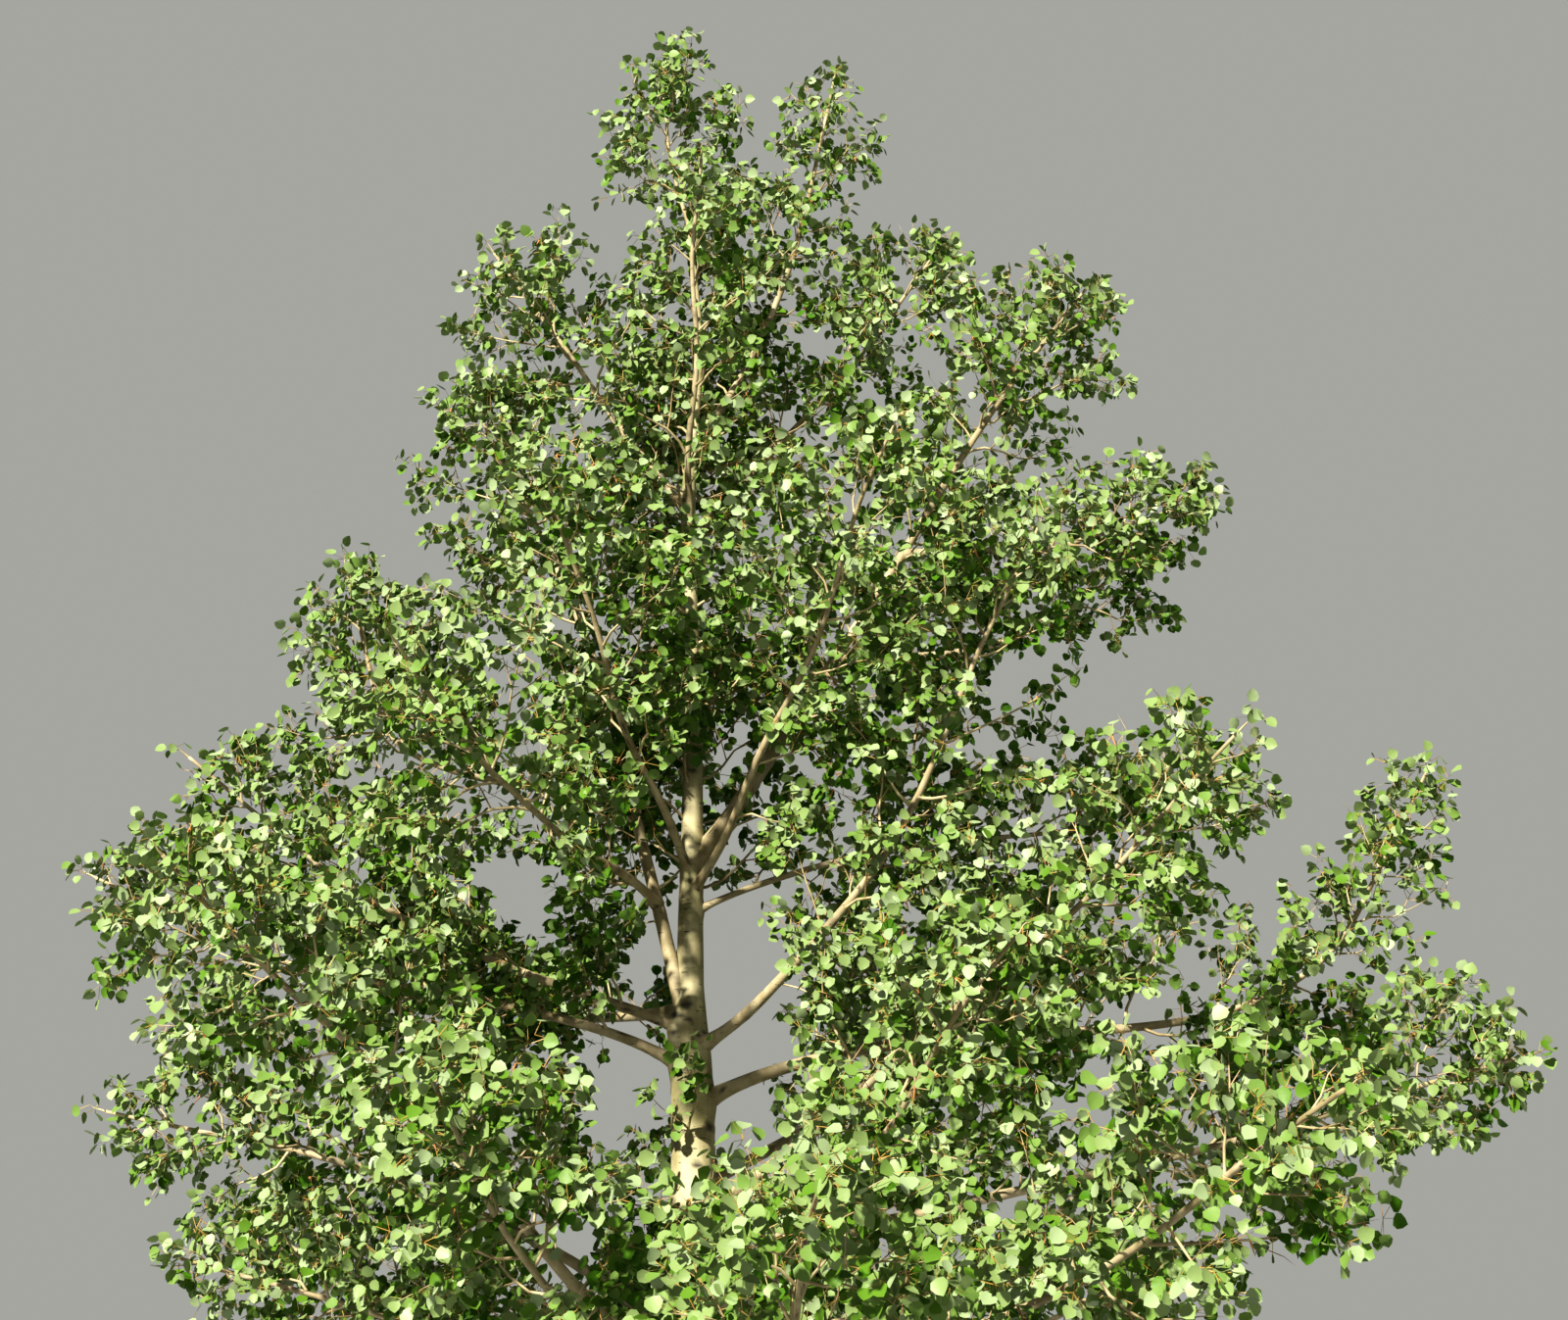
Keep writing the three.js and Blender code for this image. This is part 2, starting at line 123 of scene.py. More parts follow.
# %% Limb sizes
LIMBS = [
    ("left_stem", "trunk", 3.29, 0.05, (-170, 0.58, 5.07), (76, 62), (0.48, 0.46, 0.39)),
    ("big_right", "trunk", 3.85, 0.054, (0, 1.06, 5.59), (54, 56), (0.52, 0.46, 0.4)),
    ("left_fork", "left_stem", 0.38, 0.03, (178, 1.01, 4.38), (40, 74), (0.54, 0.44, 0.5)),
    ("left_middle", "trunk", 3.34, 0.034, (-176, 1.13, 3.83), (20, 38), (0.56, 0.46, 0.38)),
    ("left_low", "trunk", 3.215, 0.034, (-179, 1.36, 3.6), (34, 24), (0.52, 0.46, 0.43)),
    ("left_bottom", "trunk", 2.44, 0.038, (178, 1.21, 3.01), (40, 12), (0.55, 0.47, 0.4)),
    ("front_left", "left_stem", 0.24, 0.03, (-121, 1.03, 3.83), (12, 20), (0.5, 0.5, 0.44)),
    ("front_left_low", "trunk", 2.2, 0.046, (-132, 1.4, 3.16), (46, 30), (0.52, 0.48, 0.4)),
    ("front_left_bottom", "trunk", 1.96, 0.034, (-106, 1.37, 2.59), (28, 24), (0.48, 0.45, 0.37)),
    ("front_bottom", "trunk", 1.86, 0.038, (-81, 1.86, 2.3), (16, 16), (0.5, 0.47, 0.31)),
    ("front_low", "trunk", 2.48, 0.032, (-62, 1.33, 2.95), (20, 28), (0.46, 0.44, 0.4)),
    ("front_right", "trunk", 3.28, 0.036, (-38, 1.01, 4.18), (14, 60), (0.52, 0.5, 0.44)),
    ("front_right_middle", "trunk", 2.78, 0.036, (-38, 1.45, 3.55), (26, 34), (0.5, 0.45, 0.42)),
    ("front_right_bottom", "trunk", 2.12, 0.04, (-58, 2.08, 2.5), (14, 16), (0.54, 0.5, 0.36)),
    ("right_spur", "big_right", 0.62, 0.028, (0, 1.24, 4.97), (10, 20), (0.52, 0.42, 0.32)),
    ("right_middle", "big_right", 0.4, 0.034, (8, 1.24, 4.82), (4, 40), (0.48, 0.44, 0.33)),
    ("right_low", "trunk", 3.7, 0.022, (2, 1.26, 4.0), (30, 8), (0.5, 0.44, 0.37)),
    ("far_right_high", "trunk", 3.11, 0.042, (0, 2.0, 3.71), (34, 60), (0.56, 0.24, 0.27)),
    ("far_right_low", "trunk", 2.64, 0.044, (-3, 1.97, 3.11), (16, 16), (0.52, 0.48, 0.42)),
    ("right_leader", "trunk", 5.33, 0.03, (12, 0.38, 6.47), (56, 80), (0.5, 0.25, 0.26)),
    ("back_left", "trunk", 3.41, 0.038, (133, 1.38, 3.82), (4, 30), (0.52, 0.48, 0.42)),
    ("back_right", "trunk", 2.88, 0.038, (50, 1.45, 3.8), (24, 38), (0.52, 0.48, 0.42)),
    ("back_left_low", "trunk", 2.24, 0.038, (143, 1.45, 2.79), (16, 24), (0.52, 0.5, 0.4)),
    ("back_low", "trunk", 2.38, 0.038, (96, 1.6, 2.78), (10, 20), (0.52, 0.48, 0.4)),
    ("back_right_low", "trunk", 2.02, 0.04, (42, 1.62, 2.7), (20, 22), (0.54, 0.49, 0.4)),
    ("tip", "trunk", 6.2, 0.017, (183, 0.14, 6.54), (80, 84), (0.48, 0.35, 0.35)),
    ("upper_left", "trunk", 5.08, 0.03, (180, 0.49, 5.73), (50, 56), (0.46, 0.43, 0.42)),
    ("upper_right", "trunk", 4.96, 0.026, (20, 0.69, 6.0), (56, 60), (0.44, 0.38, 0.36)),
    ("upper_front", "trunk", 4.86, 0.026, (-92, 0.44, 5.64), (50, 64), (0.45, 0.42, 0.36)),
    ("upper_back", "trunk", 4.96, 0.026, (95, 0.47, 5.65), (50, 64), (0.45, 0.42, 0.36)),
    ("front_high_left", "trunk", 3.82, 0.028, (-112, 0.78, 4.38), (30, 48), (0.46, 0.48, 0.43)),
    ("front_high_right", "trunk", 3.76, 0.028, (-62, 0.9, 4.44), (26, 46), (0.46, 0.5, 0.43)),
    ("back_high", "trunk", 4.04, 0.03, (98, 0.8, 4.68), (30, 50), (0.48, 0.52, 0.44)),
    ("left_lowest", "trunk", 2.15, 0.034, (-170, 0.99, 2.55), (30, 14), (0.48, 0.44, 0.3)),
]
print("layout:", len(LIMBS), "limbs")

# %% [markdown]
# ## Curves for the limbs
#
# The trunk is a smooth spline through its places, and a bough is a cubic curve that leaves its parent
# at one rise and passes through the middle of its mass at another, with a slight swing to the side.
# Blender's curve objects could hold them, but small functions are easier to ask for a point, a
# direction or a thickness at any share of the length.

# %% Vector helpers
UP = np.array((0.0, 0.0, 1.0))
DOWN = -UP
TINY = 1e-9
DRAW_FACTOR = 16807
DRAW_MODULUS = 2147483647


def unit(v):
    return v / np.maximum(np.linalg.norm(v, axis=-1, keepdims=True), TINY)


def square_to(v, way):
    """v without its part along way, at length 1."""
    return unit(v - (v * way).sum(-1, keepdims=True) * way)


def turned(v, axis, angle):
    """v, which is square to axis, turned round it."""
    return v * math.cos(angle) + np.cross(axis, v) * math.sin(angle)


def lerp(a, b, share):
    return a + (b - a) * share


def seeded(seed):
    """The same stream of numbers from 0 to 1 for the same seed."""
    state = (seed * 7919 + 104729) % DRAW_MODULUS

    def draw():
        nonlocal state
        state = state * DRAW_FACTOR % DRAW_MODULUS
        return state / DRAW_MODULUS

    draw()
    return draw


# %% Trunk curve
def spline_point(places, share):
    """A centripetal spline through the places, at a share of their number."""
    last = len(places) - 1
    at = share * last
    i = min(int(at), last - 1)
    before = places[i - 1] if i else 2 * places[0] - places[1]
    after = places[i + 2] if i + 2 <= last else 2 * places[last] - places[last - 1]
    here, then = places[i], places[i + 1]
    d0, d1, d2 = (
        math.sqrt(np.linalg.norm(b - a)) for a, b in ((before, here), (here, then), (then, after))
    )
    slope_here = d1 * ((here - before) / d0 - (then - before) / (d0 + d1) + (then - here) / d1)
    slope_then = d1 * ((then - here) / d1 - (after - here) / (d1 + d2) + (after - then) / d2)
    t = at - i
    cubic = 2 * (here - then) + slope_here + slope_then
    square = 3 * (then - here) - 2 * slope_here - slope_then
    return here + t * (slope_here + t * (square + t * cubic))


SPLINE_STEPS = 800
trunk_places = np.array(TRUNK_LINE)
trunk_samples = np.array(
    [spline_point(trunk_places, i / SPLINE_STEPS) for i in range(SPLINE_STEPS + 1)]
)
TRUNK_TOP = TRUNK_LINE[-1][2]


def trunk_middle(height):
    x = np.interp(height, trunk_samples[:, 2], trunk_samples[:, 0])
    y = np.interp(height, trunk_samples[:, 2], trunk_samples[:, 1])
    return np.stack((x, y, np.broadcast_to(height, np.shape(x))), -1)


def trunk_radius(height):
    heights, thicknesses = zip(*TRUNK_THICKNESS)
    return np.interp(height, heights, thicknesses) / 2


print("trunk: top at", trunk_middle(TRUNK_TOP).round(3))

# %% Limb curve
SEED = 47
SWAY = 0.012
SWAY_WAVES = 1.4
FURTHEST = 1.6
TAPER = 0.85
TIP_RADIUS = 0.005
SHARE_STEP = 0.01


class Limb:
    """One tapering curve. Share 0 is in the middle of its parent and share 1 in its mass's middle."""

    def __init__(self, number, name, parent, leaves_at, thickness, goal, rises, half):
        self.name = name
        self.parent = parent
        self.draw = seeded(SEED + number)
        self.thickness = thickness
        self.half = np.array(half)
        heading, out, height = math.radians(goal[0]), goal[1], goal[2]
        start = trunk_middle(leaves_at) if parent == "trunk" else limbs[parent].point(leaves_at)
        middle = np.array((out * math.cos(heading), out * math.sin(heading), height))
        self.length = np.linalg.norm(middle - start)
        level = unit((middle - start) * (1, 1, 0))
        self.side = np.cross(UP, level)
        leaving, self.arriving = (
            level * math.cos(math.radians(rise)) + UP * math.sin(math.radians(rise)) for rise in rises
        )
        third = self.length / 3
        self.handles = (start, start + leaving * third, middle - self.arriving * third, middle)
        self.sway = SWAY * self.length * (-1 if self.draw() < 0.5 else 1)
        self.phase = self.draw()
        self.enter = 1.0
        self.end = FURTHEST

    def point(self, share):
        share = np.asarray(share, float)[..., None]
        t = np.minimum(share, 1)
        a, b, c, d = self.handles
        on_curve = a * (1 - t) ** 3 + 3 * b * (1 - t) ** 2 * t + 3 * c * (1 - t) * t**2 + d * t**3
        beyond = np.maximum(0, share - 1) * self.length * self.arriving
        swing = np.minimum(1, 3 * share) * np.sin(2 * math.pi * (SWAY_WAVES * share + self.phase))
        return on_curve + beyond + self.sway * swing * self.side

    def tangent(self, share):
        share = np.asarray(share, float)
        return unit(self.point(share + SHARE_STEP) - self.point(np.maximum(0, share - SHARE_STEP)))

    def radius(self, share):
        run = np.clip(np.asarray(share, float) / self.end, 0, 1) ** TAPER
        return lerp(self.thickness / 2, TIP_RADIUS, run)


limbs = {}
for number, row in enumerate(LIMBS):
    limbs[row[0]] = Limb(number, *row)
print("limbs: longest %.2f m" % max(limb.length for limb in limbs.values()))

# %% [markdown]
# ## The space of each mass
#
# Leaves crowd where there is light and room, so each bough fills an egg-shaped space and stops where
# its neighbour's begins. An egg, cut by a flat plane towards each neighbour, gives that with a few
# numbers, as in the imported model, so the twigs here keep to the same reach. A shape traced from the
# crown would look right from one side only.

# %% Spaces
SPACE_GAP = 0.012


def egg_radius(limb, way):
    return 1 / np.linalg.norm(limb.axes @ way / limb.half)


for limb in limbs.values():
    along = limb.tangent(1.0)
    across = square_to(limb.side, along)
    limb.middle = limb.point(1.0)
    limb.axes = np.array((along, across, np.cross(along, across)))
    limb.planes = []

in_order = list(limbs.values())
for i, a in enumerate(in_order):
    for b in in_order[i + 1:]:
        towards = b.middle - a.middle
        apart = np.linalg.norm(towards)
        if apart > a.half.max() + b.half.max():
            continue
        towards = towards / apart
        ra, rb = egg_radius(a, towards), egg_radius(b, towards)
        cut = towards @ (a.middle + towards * apart * ra / (ra + rb))
        a.planes.append((towards, cut - SPACE_GAP / 2))
        b.planes.append((-towards, -cut - SPACE_GAP / 2))


def in_space(limb, point):
    """True if a point lies in the limb's egg and on the near side of its planes."""
    inside = np.linalg.norm((point - limb.middle) @ limb.axes.T / limb.half) < 1
    return inside and all(point @ normal < limit for normal, limit in limb.planes)


def reach(limb, p, way, edge, seam):
    """How far a twig can run from p along way: to the egg less an edge, or past a plane by a seam."""
    d = limb.axes @ way / limb.half
    f = limb.axes @ (p - limb.middle) / limb.half
    a, b, c = d @ d, 2 * d @ f, f @ f - 1
    root = b * b - 4 * a * c
    far = (math.sqrt(root) - b) / (2 * a) - edge if root > 0 else 0.0
    for normal, limit in limb.planes:
        speed = normal @ way
        if speed > TINY:
            far = min(far, (limit - normal @ p) / speed + seam)
    return max(0.0, far)


for limb in in_order:
    while limb.enter > SHARE_STEP and in_space(limb, limb.point(limb.enter - SHARE_STEP)):
        limb.enter -= SHARE_STEP
    limb.end = 1.0
    while limb.end < FURTHEST and in_space(limb, limb.point(limb.end + 3 * SHARE_STEP)):
        limb.end += SHARE_STEP
print("spaces: stems run %.2f m in all" % sum((l.end - l.enter) * l.length for l in in_order))

# %% [markdown]
# ## Bark
#
# Young aspen bark is smooth and pale, cream in the sun and greenish in the shade. Patches of noise on
# Object coordinates run from a sunlit cream to a shaded green-tan, so they are partly the bark's own
# mottling and partly painted dapples of sun and shade. It carries fine level pores, dark scars where
# twigs were shed and a dark brow over each bough; the pores come from noise too. Scars have a place,
# so an attribute of the mesh paints them, as plain noise couldn't follow their raised rims.

# %% Node helpers
def new_material(name, roughness):
    """A material, its shader, a helper that adds a node with its settings, and one that links."""
    material = bpy.data.materials.new(name)
    material.use_nodes = True
    tree = material.node_tree
    shader = tree.nodes["Principled BSDF"]
    shader.inputs["Roughness"].default_value = roughness

    def add(kind, inputs=(), **settings):
        node = tree.nodes.new("ShaderNode" + kind)
        for key, value in settings.items():
            setattr(node, key, value)
        for key, value in dict(inputs).items():
            if isinstance(value, bpy.types.NodeSocket):
                tree.links.new(value, node.inputs[key])
            else:
                node.inputs[key].default_value = value
        return node

    return material, shader, add, tree.links.new


def paint(hex_colour):
    """A colour written as on a paint chart, in the linear values that a shader takes."""
    srgb = [int(hex_colour[i:i + 2], 16) / 255 for i in (0, 2, 4)]
    return [c / 12.92 if c <= 0.04045 else ((c + 0.055) / 1.055) ** 2.4 for c in srgb] + [1.0]


def ramp_between(add, factor, low, high, start, stop):
    """Runs from the colour low to the colour high as factor goes from start to stop."""
    node = add("ValToRGB", {"Fac": factor})
    node.color_ramp.elements[0].position = start
    node.color_ramp.elements[0].color = low
    node.color_ramp.elements[1].position = stop
    node.color_ramp.elements[1].color = high
    return node.outputs["Color"]


def mixed(add, factor, a, b, blend="MIX"):
    node = add("MixRGB", {"Fac": factor, "Color1": a, "Color2": b}, blend_type=blend)
    return node.outputs["Color"]


def roughen(add, link, shader, place, scale, strength, distance):
    """Bumps from fine noise at a place. Gives the noise back."""
    grain = add("TexNoise", {"Vector": place, "Scale": scale, "Detail": 2.0}).outputs["Fac"]
    bump = add("Bump", {"Strength": strength, "Distance": distance, "Height": grain})
    link(bump.outputs["Normal"], shader.inputs["Normal"])
    return grain


BLACK = paint("000000")
WHITE = paint("ffffff")
print("paint: a chart's middle grey is %.2f in a shader" % paint("808080")[0])

# %% Bark material
PORE_SIZE = (26, 26, 210)
PORE_SOFTNESS = 0.05
STREAK_SIZE = (34, 34, 5)
STREAK_STRENGTH = 0.5


def bark_material(name, sunny, shady, dark, pores):
    material, shader, add, link = new_material(name, roughness=0.72)
    place = add("TexCoord").outputs["Object"]
    patches = add("TexNoise", {"Vector": place, "Scale": 5.5, "Detail": 5.0, "Roughness": 0.6})
    # Painted dapples of sun and shade: noise patches between the sunlit and the shaded colour, over the
    # bark's own mottling.
    colour = ramp_between(add, patches.outputs["Fac"], shady, sunny, 0.38, 0.6)
    along = add("Mapping", {"Vector": place, "Scale": STREAK_SIZE}).outputs["Vector"]
    streaks = add("TexNoise", {"Vector": along, "Scale": 1.0, "Detail": 3.0})
    tint = ramp_between(add, streaks.outputs["Fac"], paint("b9ac86"), WHITE, 0.3, 0.62)
    colour = mixed(add, STREAK_STRENGTH, colour, tint, "MULTIPLY")
    across = add("Mapping", {"Vector": place, "Scale": PORE_SIZE}).outputs["Vector"]
    grain = roughen(add, link, shader, across, 1.0, 0.35, 0.002)
    holes = ramp_between(add, grain, BLACK, WHITE, pores, pores + PORE_SOFTNESS)
    colour = mixed(add, holes, colour, dark)
    scars = add("Attribute", attribute_name="scar").outputs["Fac"]
    colour = mixed(add, scars, colour, dark)
    link(colour, shader.inputs["Base Color"])
    return material


# Each bark's sunlit cream and shaded green-tan: partly its own colour, partly painted sun and shade.
trunk_bark = bark_material("trunk_bark", paint("b3aa88"), paint("858058"), paint("2b251a"), 0.66)
bough_bark = bark_material("bough_bark", paint("b0a284"), paint("8a7e5c"), paint("352c20"), 0.68)
print("bark:", trunk_bark.name, "and", bough_bark.name)

# %% [markdown]
# ## A tube that can be bent
#
# Trunk and boughs both start as one straight tube: a capped cylinder whose upright edges are cut into
# rings. Each vertex then moves to its place, by its height and its angle. Extruding ring by ring
# would give the same mesh with far more steps.

# %% Straight tube
def straight_tube(sides, rings):
    """A capped tube of radius 1 from z = 0 to z = 1, and each vertex's share of height and angle."""
    bm = bmesh.new()
    bmesh.ops.create_cone(bm, cap_ends=True, segments=sides, radius1=1, radius2=1, depth=1)
    upright = [e for e in bm.edges if abs(e.verts[0].co.z - e.verts[1].co.z) > 0.5]
    bmesh.ops.subdivide_edges(bm, edges=upright, cuts=rings - 1, use_grid_fill=True)
    at = np.array([v.co[:] for v in bm.verts])
    return bm, np.clip(at[:, 2] + 0.5, 0, 1), np.arctan2(at[:, 1], at[:, 0])


def mesh_from_bmesh(bm, name):
    mesh = bpy.data.meshes.new(name)
    bm.to_mesh(mesh)
    bm.free()
    return mesh


def finish_tube(bm, points, scars, name):
    """Moves the vertices to their places and stores how dark each one is."""
    for vertex, p in zip(bm.verts, points):
        vertex.co = p
    bmesh.ops.recalc_face_normals(bm, faces=bm.faces)
    mesh = mesh_from_bmesh(bm, name)
    mesh.attributes.new("scar", "FLOAT", "POINT").data.foreach_set("value", scars.astype(np.float32))
    return mesh


def noise_at(points, scale=1.0):
    """Smooth noise between about -1 and 1 at each point."""
    return np.array([noise.noise(Vector(p)) for p in points * scale])


# %% [markdown]
# ## The trunk
#
# The real trunk isn't a clean cone: it has shallow flutes, a swollen collar under each bough and
# raised eyes where twigs were shed. These are moved into the mesh, so that they also show in grazing
# light, and only the finest grain is left to bump.

# %% Trunk relief
TRUNK_SIDES = 48
TRUNK_RINGS = 520
FLUTE_DEPTH = 0.05
KNOB_DEPTH = 0.4 * FLUTE_DEPTH
SMOOTH_FOOT = 0.1
SCAR_SEED = 5
SCAR_COUNT = 46
SCAR_HEIGHTS = (0.25, 5.0)
SCAR_SIZE = (0.010, 0.024)
SCAR_FULL_RADIUS = 0.06
# Shares of half the bough's thickness for the first two, and of the scar's size for the third
SWELL = {"lift": 0.5, "wide": 1.5, "high": 2.2, "drop": 0.4}
BROW = {"rise": 1.9, "slope": 0.55, "thick": 0.28, "wide": 2.6}
SCAR = {"wide": 1.5, "lift": 0.24, "rim": 0.4, "pit": 0.6, "depth": 0.6, "dark": 0.8}


def around_trunk(point):
    """The height and angle at which a point stands round the trunk."""
    middle = trunk_middle(point[2])
    return point[2], math.atan2(point[1] - middle[1], point[0] - middle[0])


def surface_distance(heights, angles, radii, height, angle):
    """How far each vertex lies from a spot on the bark: to the side, and upwards."""
    turn = (angles - angle + math.pi) % (2 * math.pi) - math.pi
    return turn * radii, heights - height


def trunk_relief(heights, angles, radii):
    """How far the bark stands out, and how dark it is, under the boughs and round shed twigs."""
    lift = np.zeros_like(heights)
    scars = np.zeros_like(heights)
    for limb in in_order:
        if limb.parent != "trunk":
            continue
        share = trunk_radius(limb.point(0)[2]) / limb.length
        height, angle = around_trunk(limb.point(share))
        size = limb.thickness / 2
        side, above = surface_distance(heights, angles, radii, height, angle)
        wide = side / (SWELL["wide"] * size)
        high = (above + SWELL["drop"] * size) / (SWELL["high"] * size)
        lift += SWELL["lift"] * size * np.exp(-(wide**2) - high**2)
        brow = above - BROW["rise"] * size + BROW["slope"] * np.abs(side)
        near = np.abs(side) < BROW["wide"] * size
        scars += np.exp(-((brow / (BROW["thick"] * size)) ** 2)) * near
    draw = seeded(SCAR_SEED)
    for i in range(SCAR_COUNT):
        height = lerp(*SCAR_HEIGHTS, (i + draw()) / SCAR_COUNT)
        size = lerp(*SCAR_SIZE, draw()) * min(1.0, trunk_radius(height) / SCAR_FULL_RADIUS)
        side, above = surface_distance(heights, angles, radii, height, 2 * math.pi * draw())
        out = np.hypot(side / (SCAR["wide"] * size), above / size)
        rim = np.exp(-(((out - 1) / SCAR["rim"]) ** 2))
        pit = np.exp(-((out / SCAR["pit"]) ** 2))
        lift += SCAR["lift"] * size * (rim - SCAR["depth"] * pit)
        scars += np.exp(-((out / SCAR["dark"]) ** 4))
    return lift, np.clip(scars, 0, 1)


# %% Trunk mesh
def build_trunk():
    bm, shares, angles = straight_tube(TRUNK_SIDES, TRUNK_RINGS)
    heights = shares * TRUNK_TOP
    radii = trunk_radius(heights)
    near = np.maximum(0, 1 - heights / FLARE_HEIGHT)
    lobes = 1 + FLARE_DEPTH * near * np.cos(FLARE_LOBES * angles)
    round_way = np.stack((np.cos(angles), np.sin(angles), np.zeros_like(angles)), -1)
    flutes = noise_at(round_way * 1.6 + heights[:, None] * UP * 0.7)
    knobs = noise_at(round_way + heights[:, None] * UP * 7, 1.3)
    lift, scars = trunk_relief(heights, angles, radii)
    out = radii * (lobes + FLUTE_DEPTH * flutes + KNOB_DEPTH * knobs)
    out = out + lift * np.minimum(1, heights / SMOOTH_FOOT)
    points = trunk_middle(heights) + round_way * out[:, None]
    return finish_tube(bm, points, scars, "trunk_bark")


def add_piece(name, mesh, material, nodes):
    """Puts a finished mesh in the scene, riding on the tree in place of some nodes."""
    piece = add_object(name, mesh)
    mesh.materials.clear()
    mesh.materials.append(material)
    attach(piece, "root")
    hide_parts(*nodes)


trunk_mesh = build_trunk()
trunk_mesh.shade_smooth()
add_piece("trunk_bark", trunk_mesh, trunk_bark, ["trunk"])
print("trunk:", len(trunk_mesh.polygons), "faces")

# %% [markdown]
# ## The boughs
#
# Boughs start in the middle of the limb that bears them, so their skin comes out of its bark all
# round, and they swell towards it into a collar. Their bark is browner and carries the ring-shaped
# scars of each year's buds. As they share one finish and none of them moves, all are joined into one
# mesh, which is lighter to handle than 34 objects.

# %% Bough mesh
BOUGH_SIDES = 12
RING_SPACING = 0.02
BEARER_RADIUS = 0.02
COLLAR = 0.55
COLLAR_LENGTH = 0.9
ROUGH = 0.10
BUD_RING_SPACING = 0.19
BUD_RING_WIDTH = 0.004
BUD_RING_LIFT = 0.10
BUD_RING_DARK = 0.5
KNOT_LEVEL = 0.46
KNOT_CONTRAST = 8


def build_bough(limb):
    rings = round(limb.end * limb.length / RING_SPACING)
    bm, shares, angles = straight_tube(BOUGH_SIDES, rings)
    shares = shares * limb.end
    along = limb.tangent(shares)
    across = square_to(np.broadcast_to(limb.side, along.shape), along)
    third = np.cross(along, across)
    radii = limb.radius(shares)
    middles = limb.point(shares)
    runs = shares * limb.length
    on_trunk = limb.parent == "trunk"
    parent_radius = trunk_radius(limb.point(0)[2]) if on_trunk else BEARER_RADIUS
    bare_run = np.maximum(0, runs - parent_radius)
    collar = COLLAR * np.exp(-bare_run / (COLLAR_LENGTH * limb.thickness))
    ring = np.abs((runs / BUD_RING_SPACING + limb.phase + 0.5) % 1 - 0.5) * BUD_RING_SPACING
    bud_ring = np.exp(-((ring / BUD_RING_WIDTH) ** 2))
    round_way = across * np.cos(angles)[:, None] + third * np.sin(angles)[:, None]
    rough = noise_at(middles * 6 + round_way)
    out = radii * (1 + collar + ROUGH * rough + BUD_RING_LIFT * bud_ring)
    knots = noise_at(middles * 9 + round_way * 0.8, 2.2)
    scars = np.clip((knots - KNOT_LEVEL) * KNOT_CONTRAST, 0, 1) + BUD_RING_DARK * bud_ring
    return finish_tube(bm, middles + round_way * out[:, None], np.clip(scars, 0, 1), limb.name)


def joined(meshes, name):
    bm = bmesh.new()
    for mesh in meshes:
        bm.from_mesh(mesh)
        bpy.data.meshes.remove(mesh)
    return mesh_from_bmesh(bm, name)


bough_mesh = joined([build_bough(limb) for limb in in_order], "bough_bark")
bough_mesh.shade_smooth()
add_piece("bough_bark", bough_mesh, bough_bark, BOUGH_NODES)
print("boughs:", len(bough_mesh.polygons), "faces")

# %% [markdown]
# ## The rule of growth
#
# A stem puts out a branch every few centimetres, each turned by the golden angle from the last, wide
# open at the stem's foot and closing towards its tip. Branches put out twigs by the same rule, and
# both bear short spurs that hold the leaves. Scattering leaves in the air would be quicker, but up
# close every leaf has to hang on wood. A branch stops near the edge of its mass's space, and only its
# last shoots stand out, as on a real aspen.

# %% Growth sizes
GOLDEN_ANGLE = math.radians(137.5)
LIFT = 0.15
BRANCH = {"spacing": 0.055, "open": (72, 38), "jitter": 30, "shortest": 0.07, "radius": 0.0062}
TWIG = {"spacing": 0.046, "open": (62, 36), "jitter": 40, "shortest": 0.045, "radius": 0.0026}
TWIG_LENGTHS = (0.30, 0.09)
TWIG_STRETCH = (0.15, 0.82)
TWIG_SHARE = 0.7
THINNEST = 0.0022
SHORTFALL = 0.4
EDGE = 0.10
SEAM = 0.10
OVERRUN = 0.06
LONE_TIP = 0.06
WOOD_CLEARANCE = 0.012
WOOD_STEP = 0.02
LIMB_STEP = 0.012

wood_points = [(trunk_middle(h), trunk_radius(h)) for h in np.arange(0, TRUNK_TOP, WOOD_STEP)]
for limb in in_order:
    for share in np.arange(0, limb.enter, LIMB_STEP):
        wood_points.append((limb.point(share), limb.radius(share)))
wood_tree = kdtree.KDTree(len(wood_points))
for i, (p, radius) in enumerate(wood_points):
    wood_tree.insert(Vector(p), i)
wood_tree.balance()


def is_clear(p, spare=WOOD_CLEARANCE):
    """True if a point is clear of the trunk and of the bare stretches of the boughs."""
    _, i, gap = wood_tree.find(Vector(p))
    return gap > wood_points[i][1] + spare


print("wood:", len(wood_points), "places to stay clear of")

# %% [markdown]
# ## Windows
#
# Sky shows through the crown in a few places, above all beside the fork. A window is only open if
# little stands before and behind it, so each is a straight shaft from the eye, given by its middle
# and half sizes on the upright plane through the trunk. Most shoots in a shaft are left out, but
# fewer near its rim, so its edge is a lace of leaves and not a cut. A view is open only in front of
# the trunk, so that its bark and the feet of the boughs show. The sun reaches the heart of the crown
# through gaps of the same kind, which are round and point at the sun.

